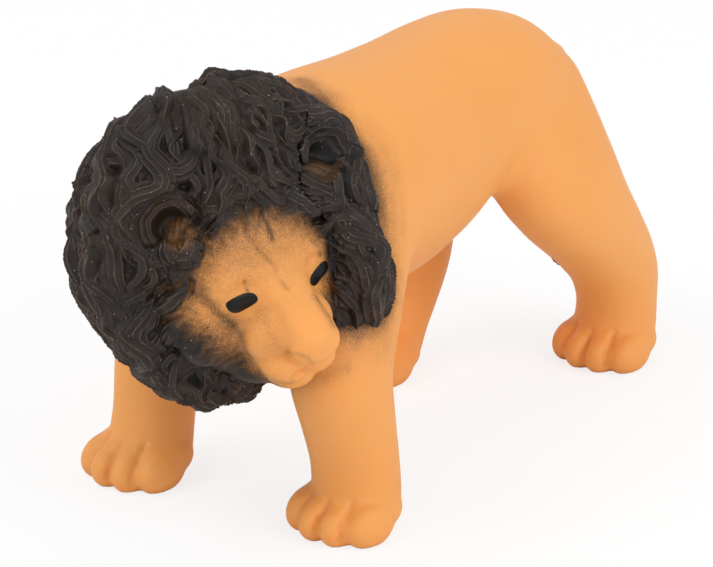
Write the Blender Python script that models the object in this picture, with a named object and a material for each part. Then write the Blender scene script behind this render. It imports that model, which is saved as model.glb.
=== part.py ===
"""Toy lion in soft vinyl: two hollow skins, a tail, a filling plug and the filling.

Metres, +Z up. The lion faces -Y, its left side is +X, and it stands on z = 0.
Each skin is modelled like clay: closed forms are laid into each other, a Remesh
modifier makes one surface of them, and a smaller set of the same forms is cut out
as the hollow. The filling takes the shape of the hollow, a small gap inside it.
"""

import math

import bmesh
import bpy
from mathutils import Matrix, Vector, noise
from mathutils.bvhtree import BVHTree

MM = 0.001

# Trunk and stance
BODY_LENGTH = 200 * MM
BACK_HEIGHT = 140 * MM
TRUNK_WIDTH = 87 * MM
FRONT_TRACK = 81 * MM
HIND_TRACK = 64 * MM
LEFT_FRONT_REACH = -73 * MM
RIGHT_FRONT_REACH = -78 * MM
LEFT_HIND_REACH = 103 * MM
RIGHT_HIND_REACH = 42 * MM

# Legs and paws
LEG_WIDTH = 30 * MM
PAW_WIDTH = 36 * MM
PAW_LENGTH = 38 * MM
PAW_HEIGHT = 17 * MM
SOLE_DEPTH = 1.5 * MM
LEG_HOLLOW_FLOOR = 17 * MM
KNEE_HEIGHT_SHARE = 0.393
CHEST_HEIGHT_SHARE = 0.45
SHOULDER_HEIGHT_SHARE = 0.571
TAIL_ROOT_HEIGHT_SHARE = 0.786
KNEE_HEIGHT = KNEE_HEIGHT_SHARE * BACK_HEIGHT
CHEST_HEIGHT = CHEST_HEIGHT_SHARE * BACK_HEIGHT
SHOULDER_CUT_HEIGHT = SHOULDER_HEIGHT_SHARE * BACK_HEIGHT
TAIL_ROOT_HEIGHT = TAIL_ROOT_HEIGHT_SHARE * BACK_HEIGHT

# Walls and fits of the mouldings
SKIN_WALL = 3 * MM
MANE_WALL = 5.5 * MM
FIT_GAP = 0.3 * MM
STUFFING_GAP = 0.7 * MM
WELD_DISTANCE = 0.05 * MM
MANE_GAP = 0.8 * MM
OVERRUN = 10 * MM

# Neck joint between the two skins
NECK_Y_SHARE = -0.2975
NECK_HEIGHT_SHARE = 0.714
NECK_Y = NECK_Y_SHARE * BODY_LENGTH
NECK_Z = NECK_HEIGHT_SHARE * BACK_HEIGHT
NECK_LEAN = math.radians(24.5)
NECK_HOLE_RADIUS = 23 * MM
SPIGOT_LENGTH = 7 * MM
SPIGOT_WALL = 2.5 * MM

# Head: the point between its eyes, its yaw to the lion's left and its roll
BROW_X = 39 * MM
BROW_Y_SHARE = -0.53
BROW_HEIGHT_SHARE = 0.67
BROW_Y = BROW_Y_SHARE * BODY_LENGTH
BROW_Z = BROW_HEIGHT_SHARE * BACK_HEIGHT
HEAD_YAW = math.radians(77)
HEAD_ROLL = math.radians(5)
FACE_LENGTH = 50 * MM
EYE_SPACING = 32.4 * MM
EYE_WIDTH = 14.8 * MM
EAR_SPACING = 57 * MM
EAR_WIDTH = 18 * MM
EAR_DEPTH = 12 * MM
EAR_WALL = 2.2 * MM
EAR_TURN = math.radians(44)
EAR_TILT = math.radians(26)

# Mane and its locks
MANE_WIDTH = 86 * MM
MANE_HEIGHT = 106 * MM
MANE_DEPTH = 49 * MM
NAPE_WIDTH = 76 * MM
NAPE_HEIGHT = 92 * MM
NAPE_DEPTH = 64 * MM
CROWN_WIDTH = 68 * MM
CROWN_HEIGHT = 76 * MM
CROWN_DEPTH = 52 * MM
LOCK_WIDTH = 9.5 * MM
LOCK_HEIGHT = 4.4 * MM
LOCK_LENGTH = 38 * MM
LOCK_WAVE = 2.6 * MM
LOCK_PITCH = 19 * MM
LOCK_RELIEF = 5 * MM
LOCK_BEDDING = 2.5 * MM
LOCK_SIDES = 8
LOCK_STATIONS = 12
LOCK_COUNT = 230
HAIRLINE_COUNT = 22

# Tail, its peg and the belly plug
TAIL_LENGTH = 88 * MM
TAIL_RADIUS = 4.5 * MM
TUFT_RADIUS = 7.5 * MM
TUFT_RIDGES = 7
PEG_RADIUS = 3.2 * MM
PEG_LENGTH = 8 * MM
PLUG_Y = -4 * MM
PLUG_RADIUS = 10 * MM
PLUG_NECK_RADIUS = 7 * MM
PLUG_RIM = 1.2 * MM
PLUG_SINK = 0.6 * MM
PLUG_NECK_LENGTH = 4 * MM

# Grain and thinning of the modelled surfaces
SKIN_GRAIN = 1.6 * MM
HOLLOW_GRAIN = 3 * MM
FACE_GRAIN = 1.4 * MM
FACE_PASSES = 8
BED_PASSES = 6
BLEND_GRAIN = 2.5 * MM
BLEND_PASSES = 26
BLEND_SWELL = 1.2 * MM
BODY_FACES = 2900
HEAD_FACES = 6250
HOLLOW_FACES = 600
RING_POINTS = 24
PEG_SIDES = 24
SHARP_ANGLE = math.radians(50)

# Trunk stations from chest to rump: place along the body, top and underside as
# shares of the back's height, half width as a share of the trunk's width
TRUNK_SHARES = [
    (-0.43, 0.72, 0.52, 0.20),
    (-0.40, 0.82, 0.46, 0.32),
    (-0.33, 0.93, 0.42, 0.40),
    (-0.24, 0.975, 0.415, 0.455),
    (-0.14, 0.98, 0.42, 0.455),
    (-0.02, 0.97, 0.425, 0.425),
    (0.10, 0.97, 0.46, 0.395),
    (0.21, 0.975, 0.545, 0.375),
    (0.31, 0.97, 0.59, 0.36),
    (0.40, 0.935, 0.58, 0.32),
    (0.475, 0.85, 0.59, 0.255),
    (0.52, 0.75, 0.63, 0.16),
]
TRUNK_SQUARE = 2.0

# Leg stations from shoulder or hip to sole: height share of the back's height,
# place share of half the track, share of the body's length behind the foot, half
# width and half depth as shares of the leg's width
LEFT_FRONT_LEG_SHARES = [
    (0.76, 0.50, 0.17, 0.40, 0.55),
    (0.64, 0.68, 0.12, 0.52, 0.70),
    (0.51, 0.86, 0.03, 0.53, 0.68),
    (0.38, 0.96, -0.018, 0.49, 0.60),
    (0.27, 1.00, -0.005, 0.46, 0.53),
    (0.16, 1.00, 0.015, 0.44, 0.48),
    (0.08, 1.00, 0.02, 0.45, 0.49),
    (0.00, 1.00, 0.01, 0.48, 0.50),
]
RIGHT_FRONT_LEG_SHARES = [
    (0.76, 0.50, 0.19, 0.40, 0.55),
    (0.64, 0.70, 0.14, 0.51, 0.68),
    (0.51, 0.88, 0.08, 0.50, 0.63),
    (0.38, 0.99, 0.05, 0.44, 0.53),
    (0.27, 1.03, 0.04, 0.42, 0.48),
    (0.16, 1.03, 0.035, 0.42, 0.47),
    (0.08, 1.03, 0.02, 0.44, 0.49),
    (0.00, 1.03, 0.01, 0.47, 0.50),
]
LEFT_HIND_LEG_SHARES = [
    (0.82, 0.42, -0.14, 0.40, 0.70),
    (0.70, 0.64, -0.17, 0.53, 0.96),
    (0.60, 0.83, -0.175, 0.57, 1.04),
    (0.50, 0.97, -0.15, 0.55, 0.98),
    (0.41, 1.03, -0.10, 0.52, 0.90),
    (0.32, 1.03, -0.035, 0.48, 0.77),
    (0.23, 1.03, 0.015, 0.45, 0.62),
    (0.15, 1.03, 0.025, 0.43, 0.50),
    (0.07, 1.03, 0.015, 0.48, 0.52),
    (0.00, 1.03, 0.00, 0.48, 0.50),
]
RIGHT_HIND_LEG_SHARES = [
    (0.82, 0.42, 0.17, 0.40, 0.75),
    (0.70, 0.62, 0.125, 0.53, 1.03),
    (0.58, 0.80, 0.09, 0.56, 0.96),
    (0.48, 0.91, 0.09, 0.53, 0.80),
    (0.39, 0.95, 0.11, 0.49, 0.65),
    (0.30, 0.96, 0.13, 0.45, 0.53),
    (0.22, 0.96, 0.12, 0.43, 0.47),
    (0.14, 0.96, 0.085, 0.42, 0.45),
    (0.07, 0.95, 0.04, 0.45, 0.46),
    (0.00, 0.94, 0.01, 0.46, 0.46),
]
LEG_SQUARE = 2.1

# Toes of a paw: sideways share of its width, forward share of its length; then the
# half sizes of a toe and of the palm as shares of the paw's width, length, height
TOE_SHARES = [(-0.33, 0.22), (-0.115, 0.33), (0.115, 0.33), (0.33, 0.22)]
TOE_SIZE_SHARES = (0.155, 0.22, 0.42)
PALM_SIZE_SHARES = (0.46, 0.38, 0.55)

# Face forms: forward, left and up from the point between the eyes, then the radii
# across, along and up, all as shares of the face's length, their dip and their roll in
# degrees. The broad forms are blended first, the fine ones are laid on them
BROAD_FACE_SHARES = [
    (-0.44, 0.0, -0.04, 0.66, 0.44, 0.62, 0, 0),
    (-0.06, 0.0, -0.34, 0.28, 0.24, 0.24, 0, 0),
    (-0.26, 0.0, -0.52, 0.30, 0.30, 0.18, 0, 0),
]
BROAD_FACE_PAIR_SHARES = [
    (-0.264, 0.30, 0.10, 0.25, 0.224, 0.18, 0, 12),
    (-0.30, 0.40, -0.24, 0.24, 0.19, 0.24, 0, 0),
    (-0.04, 0.15, -0.26, 0.18, 0.22, 0.18, 0, 0),
]
FINE_FACE_SHARES = [
    (0.244, 0.0, -0.268, 0.184, 0.116, 0.108, 22, 0),
    (-0.02, 0.0, -0.58, 0.156, 0.168, 0.104, 0, 0),
]
FINE_FACE_PAIR_SHARES = [
    (0.064, 0.124, -0.426, 0.17, 0.19, 0.138, 12, 0),
]

# Eyelids: forward and up as shares of the face's length, radii across, along and up as
# shares of the eye's width, and their roll in degrees
EYE_PLACE_SHARES = (-0.132, -0.016)
EYE_SIZE_SHARES = (0.5, 0.3, 0.3)
EYE_ROLL = 12

# Bridge of the nose from the forehead to the tip: forward and up, half width and half
# height as shares of the face's length, dip of the section in degrees
BRIDGE_SHARES = [
    (-0.32, 0.40, 0.30, 0.12, 60),
    (-0.19, 0.18, 0.26, 0.14, 45),
    (-0.09, 0.0, 0.22, 0.14, 38),
    (0.03, -0.11, 0.192, 0.14, 34),
    (0.15, -0.20, 0.176, 0.136, 30),
    (0.25, -0.26, 0.172, 0.116, 25),
    (0.31, -0.29, 0.14, 0.084, 20),
    (0.344, -0.304, 0.08, 0.048, 15),
]
BRIDGE_SQUARE = 2.4
EAR_PLACE_SHARES = (-0.44, 0.51)

# Mane forms: centres of the balls round the face, at the back of the head and at the
# crown from the point between the eyes, as shares of the face's length; centres and
# radii of the ruff's balls as shares of the trunk's width, the body's length and the
# back's height
MANE_CENTRE_SHARES = (-0.68, 0.0, 0.114)
NAPE_CENTRE_SHARES = (-0.98, 0.0, 0.08)
CROWN_CENTRE_SHARES = (-0.80, 0.28, 0.40)
RUFF_SHARES = [
    ((0.06, -0.34, 0.70), (0.41, 0.15, 0.33)),
    ((0.046, -0.355, 0.614), (0.55, 0.125, 0.262)),
]

# Hair: the hub that it grows from and the face's opening as shares of the face's
# length, and what steers it: fall from the crown, the turn round the face and along
# the edge towards the body
HAIR_HUB_SHARES = (-0.90, 0.0, 0.16)
CROWN_AXIS = (0.0, 0.25, 1.0)
OPENING_RISE_SHARE = -0.04
OPENING_WIDTH_SHARE = 0.58
OPENING_HEIGHT_SHARE = 0.56
OPENING_DEPTH_SHARE = -0.80
FLOW_SPREAD_SHARE = 0.25
FLOW_FALL_SHARE = 0.9
FLOW_ASIDE_SHARE = 1.1
FLOW_ASIDE_FADE = 3.2
EDGE_FADE = 3 * MM
EDGE_WIDTH = 10 * MM

# Locks: how their length, wave, width and height vary, how they taper towards root and
# tip, the shortest that is kept, and the size of those that ring the face
LENGTH_SHARES = (0.85, 0.35)
WAVE_SHARES = (0.75, 0.5)
WIDTH_SHARES = (0.85, 0.3)
HEIGHT_SHARES = (0.8, 0.45)
TAPER_SHARES = (0.06, 0.94)
TAPER_BLUNT = 0.7
LOCK_SQUARE = 1.5
SHORTEST_SHARE = 0.45
HAIRLINE_SIZE_SHARE = 0.7
PHASE_GRAIN = 36 * MM
PHASE_SHARE = 1.5

# Tail route behind and above its root as shares of the tail's length, with the
# radius as a share of the tail's, and of the tuft's from TUFT_START on
TAIL_SHARES = [
    (-0.10, 0.03, 1.30),
    (0.03, 0.01, 1.25),
    (0.12, -0.04, 1.10),
    (0.20, -0.14, 1.00),
    (0.24, -0.28, 0.90),
    (0.25, -0.44, 0.82),
    (0.24, -0.60, 0.80),
]
TUFT_SHARES = [
    (0.235, -0.67, 0.72),
    (0.23, -0.76, 1.0),
    (0.225, -0.85, 0.92),
    (0.22, -0.93, 0.60),
    (0.215, -0.985, 0.20),
]
TUFT_RIDGE_SHARE = 0.14


def clear_scene():
    for item in list(bpy.data.objects):
        bpy.data.objects.remove(item, do_unlink=True)


def material(name, colour, roughness):
    made = bpy.data.materials.new(name)
    made.use_nodes = True
    shader = made.node_tree.nodes["Principled BSDF"]
    shader.inputs["Base Color"].default_value = (*colour, 1.0)
    shader.inputs["Roughness"].default_value = roughness
    shader.inputs["Metallic"].default_value = 0.0
    made.diffuse_color = (*colour, 1.0)
    return made


def add_object(name, mesh, finish=None):
    item = bpy.data.objects.new(name, mesh)
    bpy.context.scene.collection.objects.link(item)
    if finish:
        mesh.materials.append(finish)
    return item


def add_form(name, form, finish=None):
    """Object from a bmesh of closed forms, with their faces turned outwards."""
    bmesh.ops.recalc_face_normals(form, faces=form.faces)
    mesh = bpy.data.meshes.new(name)
    form.to_mesh(mesh)
    form.free()
    return add_object(name, mesh, finish)


def as_cutter(item):
    item.hide_render = True
    item.display_type = "WIRE"
    return item


def evaluated_mesh(item):
    graph = bpy.context.evaluated_depsgraph_get()
    graph.update()
    return bpy.data.meshes.new_from_object(item.evaluated_get(graph))


def settle(item):
    """Keep the shape that an object's modifiers give it, and drop them."""
    mesh = evaluated_mesh(item)
    item.modifiers.clear()
    item.data = mesh


def cut(item, cutter, kind="DIFFERENCE"):
    step = item.modifiers.new(cutter.name, "BOOLEAN")
    step.operation = kind
    step.object = cutter
    step.solver = "EXACT"


def weld(item):
    """Drop the slivers that a cut along a grazing surface leaves."""
    step = item.modifiers.new("weld", "WELD")
    step.merge_threshold = WELD_DISTANCE


def model_clay(item, grain, passes, faces=None):
    """Make one smooth closed surface of an object's forms, and thin it to so many faces."""
    remesh = item.modifiers.new("clay", "REMESH")
    remesh.mode = "VOXEL"
    remesh.voxel_size = grain
    smooth = item.modifiers.new("smooth", "SMOOTH")
    smooth.factor = 0.5
    smooth.iterations = passes
    settle(item)
    if faces:
        item.data.calc_loop_triangles()
        thin = item.modifiers.new("thin", "DECIMATE")
        thin.ratio = min(1.0, faces / len(item.data.loop_triangles))
        thin.use_collapse_triangulate = True
        settle(item)


def swell(item, amount):
    """Move an object's surface outwards, or inwards if the amount is negative."""
    step = item.modifiers.new("swell", "DISPLACE")
    step.strength = amount
    step.mid_level = 0.0
    settle(item)


def add_loft(form, rings):
    """Bridge closed rings of points and close both ends with a fan."""
    loops = [[form.verts.new(point) for point in ring] for ring in rings]
    for first, second in zip(loops, loops[1:]):
        count = len(first)
        for k in range(count):
            nxt = (k + 1) % count
            form.faces.new((first[k], first[nxt], second[nxt], second[k]))
    for loop in (loops[0], loops[-1]):
        middle = sum((vert.co for vert in loop), Vector()) / len(loop)
        hub = form.verts.new(middle)
        for k, vert in enumerate(loop):
            form.faces.new((vert, loop[(k + 1) % len(loop)], hub))


def add_ellipsoid(form, centre, radii, turn=None):
    place = Matrix.Translation(centre)
    if turn is not None:
        place = place @ turn.to_4x4()
    place = place @ Matrix.Diagonal((*radii, 1.0))
    bmesh.ops.create_icosphere(form, subdivisions=3, radius=1.0, matrix=place)


def oval_ring(centre, side, up, half_side, half_up, count=RING_POINTS, square=2.0):
    """Ring of points whose corners are fuller as square rises above 2."""
    ring = []
    for k in range(count):
        angle = math.tau * k / count
        across = math.cos(angle)
        along = math.sin(angle)
        across = math.copysign(abs(across) ** (2 / square), across)
        along = math.copysign(abs(along) ** (2 / square), along)
        ring.append(centre + side * (across * half_side) + up * (along * half_up))
    return ring


def cylinder(name, start, axis, length, radius, sides=PEG_SIDES):
    form = bmesh.new()
    axis = axis.normalized()
    turn = axis.to_track_quat("Z", "Y").to_matrix().to_4x4()
    place = Matrix.Translation(start + axis * (length / 2)) @ turn
    bmesh.ops.create_cone(form, cap_ends=True, segments=sides, radius1=radius, radius2=radius,
                          depth=length, matrix=place)
    return as_cutter(add_form(name, form))


def block(name, low, high):
    form = bmesh.new()
    size = [b - a for a, b in zip(low, high)]
    middle = [(a + b) / 2 for a, b in zip(low, high)]
    place = Matrix.Translation(middle) @ Matrix.Diagonal((*size, 1.0))
    bmesh.ops.create_cube(form, size=1.0, matrix=place)
    return as_cutter(add_form(name, form))


# Trunk and legs

def add_trunk(form, inset):
    side = Vector((1, 0, 0))
    up = Vector((0, 0, 1))
    rings = []
    for along, top, under, wide in TRUNK_SHARES:
        high = top * BACK_HEIGHT - inset
        low = under * BACK_HEIGHT + inset
        half = wide * TRUNK_WIDTH - inset
        centre = Vector((0, along * BODY_LENGTH, (high + low) / 2))
        rings.append(oval_ring(centre, side, up, half, (high - low) / 2, square=TRUNK_SQUARE))
    if inset > 0:
        rings = rings[1:-1]
    add_loft(form, rings)


def belly_height(body):
    """Height of the underside at the place of the belly plug."""
    hit, point, _, _ = body.ray_cast((0, PLUG_Y, 0), (0, 0, 1))
    if not hit:
        raise ValueError("no belly above the plug's place")
    return point.z


LEGS = [
    ("front_left", 1, FRONT_TRACK / 2, LEFT_FRONT_REACH, LEFT_FRONT_LEG_SHARES),
    ("front_right", -1, FRONT_TRACK / 2, RIGHT_FRONT_REACH, RIGHT_FRONT_LEG_SHARES),
    ("hind_left", 1, HIND_TRACK / 2, LEFT_HIND_REACH, LEFT_HIND_LEG_SHARES),
    ("hind_right", -1, HIND_TRACK / 2, RIGHT_HIND_REACH, RIGHT_HIND_LEG_SHARES),
]


def add_leg(form, leg, inset):
    _, sign, out, reach, shares = leg
    side = Vector((1, 0, 0))
    back = Vector((0, 1, 0))
    rings = []
    for height, place, behind, wide, deep in shares:
        z = height * BACK_HEIGHT
        if inset > 0 and z < LEG_HOLLOW_FLOOR:
            continue
        centre = Vector((sign * place * out, reach + behind * BODY_LENGTH, z))
        rings.append(oval_ring(centre, side, back, wide * LEG_WIDTH - inset,
                               deep * LEG_WIDTH - inset, square=LEG_SQUARE))
    add_loft(form, rings)


def add_paw(form, leg):
    _, sign, out, reach, shares = leg
    x = sign * out * shares[-1][1]
    palm_wide, palm_long, palm_high = PALM_SIZE_SHARES
    palm = (palm_wide * PAW_WIDTH, palm_long * PAW_LENGTH, palm_high * PAW_HEIGHT)
    add_ellipsoid(form, Vector((x, reach, palm[2] - SOLE_DEPTH)), palm)
    toe_wide, toe_long, toe_high = TOE_SIZE_SHARES
    toe = (toe_wide * PAW_WIDTH, toe_long * PAW_LENGTH, toe_high * PAW_HEIGHT)
    for across, ahead in TOE_SHARES:
        middle = (x + across * PAW_WIDTH, reach - ahead * PAW_LENGTH, toe[2] - SOLE_DEPTH)
        add_ellipsoid(form, Vector(middle), toe)


def model_body(finish):
    """Outer form of trunk and legs, without its hollow."""
    form = bmesh.new()
    add_trunk(form, 0)
    for leg in LEGS:
        add_leg(form, leg, 0)
    body = add_form("body_skin", form, finish)
    model_clay(body, BLEND_GRAIN, BLEND_PASSES)
    swell(body, BLEND_SWELL)
    form = bmesh.new()
    form.from_mesh(body.data)
    for leg in LEGS:
        add_paw(form, leg)
    form.to_mesh(body.data)
    form.free()
    model_clay(body, SKIN_GRAIN, 4, BODY_FACES)
    return body


def model_body_hollow():
    """Inside of trunk and legs, a wall inside their outer form."""
    form = bmesh.new()
    add_trunk(form, SKIN_WALL)
    for leg in LEGS:
        add_leg(form, leg, SKIN_WALL)
    hollow = as_cutter(add_form("body_hollow", form))
    model_clay(hollow, HOLLOW_GRAIN, 4, HOLLOW_FACES)
    return hollow


def end_body_hollow(hollow, gap):
    """Keep an inside of the body so far behind the wall at the neck and the mane.

    The rooms of the mane's balls end at different distances behind the joint, so that
    no two of them end in one plane.
    """
    inset = SKIN_WALL + gap
    name = hollow.name
    cut(hollow, shoulder_room(name + "_shoulder", -inset, CHEST_HEIGHT))
    for k, (centre, rotation, radii) in enumerate(mane_balls()):
        form = bmesh.new()
        grown = [radius + LOCK_RELIEF + inset for radius in radii]
        add_ellipsoid(form, centre, grown, rotation)
        room = as_cutter(add_form(f"{name}_mane_{k}", form))
        cut(room, neck_side(f"{name}_mane_end_{k}", -1, inset + (k + 1) * FIT_GAP))
        cut(hollow, room)
    settle(hollow)


def filling_of(name, hollow):
    """Copy of an inside, a small gap smaller all over."""
    filling = as_cutter(add_object(name, hollow.data.copy()))
    swell(filling, -STUFFING_GAP)
    return filling


# Head

def head_frame():
    """Left, back and up of the head, placed at the point between its eyes."""
    yaw = Matrix.Rotation(HEAD_YAW, 4, "Z")
    roll = Matrix.Rotation(-HEAD_ROLL, 4, "Y")
    return Matrix.Translation((BROW_X, BROW_Y, BROW_Z)) @ yaw @ roll


def head_point(forward, left, up):
    return head_frame() @ Vector((left, -forward, up))


def head_turn(dip):
    """Rotation of a head form whose front dips by so many degrees."""
    return (head_frame() @ Matrix.Rotation(math.radians(dip), 4, "X")).to_3x3()


def add_face_form(form, shares, side, inset):
    forward, left, up, wide, long, high, dip, roll = shares
    centre = head_point(forward * FACE_LENGTH, side * left * FACE_LENGTH, up * FACE_LENGTH)
    radii = [size * FACE_LENGTH - inset for size in (wide, long, high)]
    if min(radii) > inset:
        turn = head_turn(dip) @ Matrix.Rotation(math.radians(roll * side), 3, "Y")
        add_ellipsoid(form, centre, radii, turn)


def add_face_forms(form, single, pairs, inset):
    for shares in single:
        add_face_form(form, shares, 1, inset)
    for shares in pairs:
        for side in (1, -1):
            add_face_form(form, shares, side, inset)


def add_eyes(form):
    forward, up = (share * FACE_LENGTH for share in EYE_PLACE_SHARES)
    radii = [share * EYE_WIDTH for share in EYE_SIZE_SHARES]
    for side in (1, -1):
        turn = head_turn(0) @ Matrix.Rotation(math.radians(EYE_ROLL * side), 3, "Y")
        add_ellipsoid(form, head_point(forward, side * EYE_SPACING / 2, up), radii, turn)


def add_bridge(form):
    """Bridge of the nose, flat-topped and broad where it leaves the forehead."""
    side = head_turn(0) @ Vector((1, 0, 0))
    rings = []
    for forward, up, wide, high, dip in BRIDGE_SHARES:
        centre = head_point(forward * FACE_LENGTH, 0, up * FACE_LENGTH)
        rise = head_turn(dip) @ Vector((0, 0, 1))
        rings.append(oval_ring(centre, side, rise, wide * FACE_LENGTH, high * FACE_LENGTH,
                               square=BRIDGE_SQUARE))
    add_loft(form, rings)


def head_ball(centre_shares, width, depth, height):
    """Centre, rotation and radii of a ball that turns with the head."""
    forward, left, up = (share * FACE_LENGTH for share in centre_shares)
    return head_point(forward, left, up), head_turn(0), (width / 2, depth / 2, height / 2)


def mane_balls():
    """The balls of the mane: round the face, behind it, at the crown, on the shoulders."""
    balls = [head_ball(MANE_CENTRE_SHARES, MANE_WIDTH, MANE_DEPTH, MANE_HEIGHT),
             head_ball(NAPE_CENTRE_SHARES, NAPE_WIDTH, NAPE_DEPTH, NAPE_HEIGHT),
             head_ball(CROWN_CENTRE_SHARES, CROWN_WIDTH, CROWN_DEPTH, CROWN_HEIGHT)]
    for (across, along, height), (wide, long, high) in RUFF_SHARES:
        centre = Vector((across * TRUNK_WIDTH, along * BODY_LENGTH, height * BACK_HEIGHT))
        radii = (wide * TRUNK_WIDTH, long * BODY_LENGTH, high * BACK_HEIGHT)
        balls.append((centre, Matrix.Identity(3), radii))
    return balls


def face_ring(point):
    """Place against the face's opening, below 1 inside it, and how far ahead it lies."""
    local = head_frame().inverted() @ point
    across = local.x / (OPENING_WIDTH_SHARE * FACE_LENGTH)
    rise = (local.z - OPENING_RISE_SHARE * FACE_LENGTH) / (OPENING_HEIGHT_SHARE * FACE_LENGTH)
    return math.hypot(across, rise), -local.y


def hair_hub():
    return head_point(*[share * FACE_LENGTH for share in HAIR_HUB_SHARES])


def behind_neck(point):
    """How far a point lies on the body's side of the neck joint."""
    return -(point - neck_point(0)).dot(neck_axis())


def hair_flow(point, normal):
    """Direction of the hair: down from the crown, round the face, along the body's edge."""
    turn = head_turn(0)
    crown = turn @ Vector(CROWN_AXIS).normalized()
    out = point - hair_hub()
    away = (out - crown * out.dot(crown)).normalized()
    spread = max(0.0, out.normalized().dot(crown) + FLOW_SPREAD_SHARE)
    flow = away * spread - crown * FLOW_FALL_SHARE
    ring, ahead = face_ring(point)
    if ahead > hair_hub_depth():
        front = turn @ Vector((0, -1, 0))
        aside = point - head_point(0, 0, OPENING_RISE_SHARE * FACE_LENGTH)
        aside -= front * aside.dot(front)
        flow += aside.normalized() * FLOW_ASIDE_SHARE * math.exp(-max(0.0, ring - 1) * FLOW_ASIDE_FADE)
    edge = 1 / (1 + math.exp(-(behind_neck(point) + EDGE_WIDTH) / EDGE_FADE))
    flow += neck_axis() * (flow.dot(-neck_axis()) * edge)
    flow -= normal * flow.dot(normal)
    return flow.normalized()


def hair_hub_depth():
    """How far ahead of the eyes, as a negative length, the hair starts to turn aside."""
    return (HAIR_HUB_SHARES[0] + 2 * OPENING_RISE_SHARE) * FACE_LENGTH


def off_mane(point, limit):
    """Whether a point lies inside the face's opening or behind the neck joint."""
    ring, ahead = face_ring(point)
    inside = ring < limit and ahead > OPENING_DEPTH_SHARE * FACE_LENGTH
    return inside or behind_neck(point) > EDGE_FADE


def trace_lock(tree, start, length, wave, pitch, phase):
    """Wavy path over the mane, with its outward directions, or None if it is too short."""
    point, normal, _, _ = tree.find_nearest(start)
    stride = length / (LOCK_STATIONS - 1)
    plain = [(point, normal)]
    for _ in range(LOCK_STATIONS - 1):
        point, normal, _, _ = tree.find_nearest(point + hair_flow(point, normal) * stride)
        if off_mane(point, 1):
            break
        plain.append((point, normal))
    if len(plain) < LOCK_STATIONS * SHORTEST_SHARE:
        return None
    path = []
    for k in range(LOCK_STATIONS):
        share = k / (LOCK_STATIONS - 1) * (len(plain) - 1)
        first = min(int(share), len(plain) - 2)
        (start_point, start_out), (end_point, end_out) = plain[first], plain[first + 1]
        spot = start_point.lerp(end_point, share - first)
        out = start_out.lerp(end_out, share - first).normalized()
        along = (end_point - start_point).normalized()
        sway = math.sin(math.tau * share * stride / pitch + phase) * wave
        spot, out, _, _ = tree.find_nearest(spot + along.cross(out) * sway)
        path.append((spot, out))
    return path


def lock_rings(path, width, height):
    """Rings of one tapering lock along a path, from root to tip."""
    rings = []
    for k, (centre, out) in enumerate(path):
        along = path[min(k + 1, len(path) - 1)][0] - path[max(k - 1, 0)][0]
        side = along.cross(out).normalized()
        share = k / (len(path) - 1)
        blunt, run = TAPER_SHARES
        taper = max(blunt, math.sin(math.pi * (blunt + run * share))) ** TAPER_BLUNT
        rings.append(oval_ring(centre, side, out, width / 2 * taper, height * taper,
                               count=LOCK_SIDES, square=LOCK_SQUARE))
    return rings


def lock_starts(tree):
    """Where the locks start and how large they are: all over the mane and round the face."""
    starts = []
    hub = hair_hub()
    for k in range(LOCK_COUNT):
        rise = 1 - 2 * (k + 0.5) / LOCK_COUNT
        around = k * math.pi * (3 - math.sqrt(5))
        flat = math.sqrt(1 - rise * rise)
        ray = head_turn(0) @ Vector((flat * math.cos(around), flat * math.sin(around), rise))
        hit = tree.ray_cast(hub, ray)[0]
        if hit is not None and not off_mane(hit, 1):
            starts.append((hit, 1.0))
    ahead = head_turn(0) @ Vector((0, -1, 0))
    for k in range(HAIRLINE_COUNT):
        around = math.tau * k / HAIRLINE_COUNT
        rise = OPENING_RISE_SHARE + OPENING_HEIGHT_SHARE * math.cos(around)
        spot = head_point(FACE_LENGTH, OPENING_WIDTH_SHARE * math.sin(around) * FACE_LENGTH,
                          rise * FACE_LENGTH)
        hit = tree.ray_cast(spot, -ahead)[0]
        if hit is not None:
            starts.append((hit, HAIRLINE_SIZE_SHARE))
    return starts


def uneven(serial, shares, row):
    """A size's share that varies from lock to lock, the same way each time."""
    low, spread = shares
    return low + spread * noise.cell(Vector((serial * math.sqrt(3), row * math.sqrt(5), row)))


def add_locks(form, tree):
    """Overlapping wavy locks all over the mane."""
    for serial, (start, size) in enumerate(lock_starts(tree)):
        phase = math.tau * PHASE_SHARE * noise.noise(start / PHASE_GRAIN)
        path = trace_lock(tree, start, LOCK_LENGTH * size * uneven(serial, LENGTH_SHARES, 1),
                          LOCK_WAVE * size * uneven(serial, WAVE_SHARES, 2), LOCK_PITCH, phase)
        if path:
            width = LOCK_WIDTH * size * uneven(serial, WIDTH_SHARES, 3)
            height = LOCK_HEIGHT * size * uneven(serial, HEIGHT_SHARES, 4)
            add_loft(form, lock_rings(path, width, height))


def ear_places():
    """Side, middle and rotation of each ear; its cup opens forwards, outwards and up."""
    forward, rise = (share * FACE_LENGTH for share in EAR_PLACE_SHARES)
    places = []
    for side in (1, -1):
        turn = Matrix.Rotation(side * EAR_TURN, 3, "Z") @ Matrix.Rotation(-EAR_TILT, 3, "X")
        places.append((side, head_point(forward, side * EAR_SPACING / 2, rise), head_turn(0) @ turn))
    return places


def add_mane_balls(form, inset):
    for centre, rotation, radii in mane_balls():
        add_ellipsoid(form, centre, [radius - inset for radius in radii], rotation)


def mane_tree():
    """Smooth surface that the locks lie on, for finding places on it."""
    form = bmesh.new()
    add_mane_balls(form, LOCK_BEDDING)
    bed = as_cutter(add_form("mane_bed", form))
    model_clay(bed, HOLLOW_GRAIN, BED_PASSES)
    faces = [tuple(face.vertices) for face in bed.data.polygons]
    return BVHTree.FromPolygons([tuple(vert.co) for vert in bed.data.vertices], faces)


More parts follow.
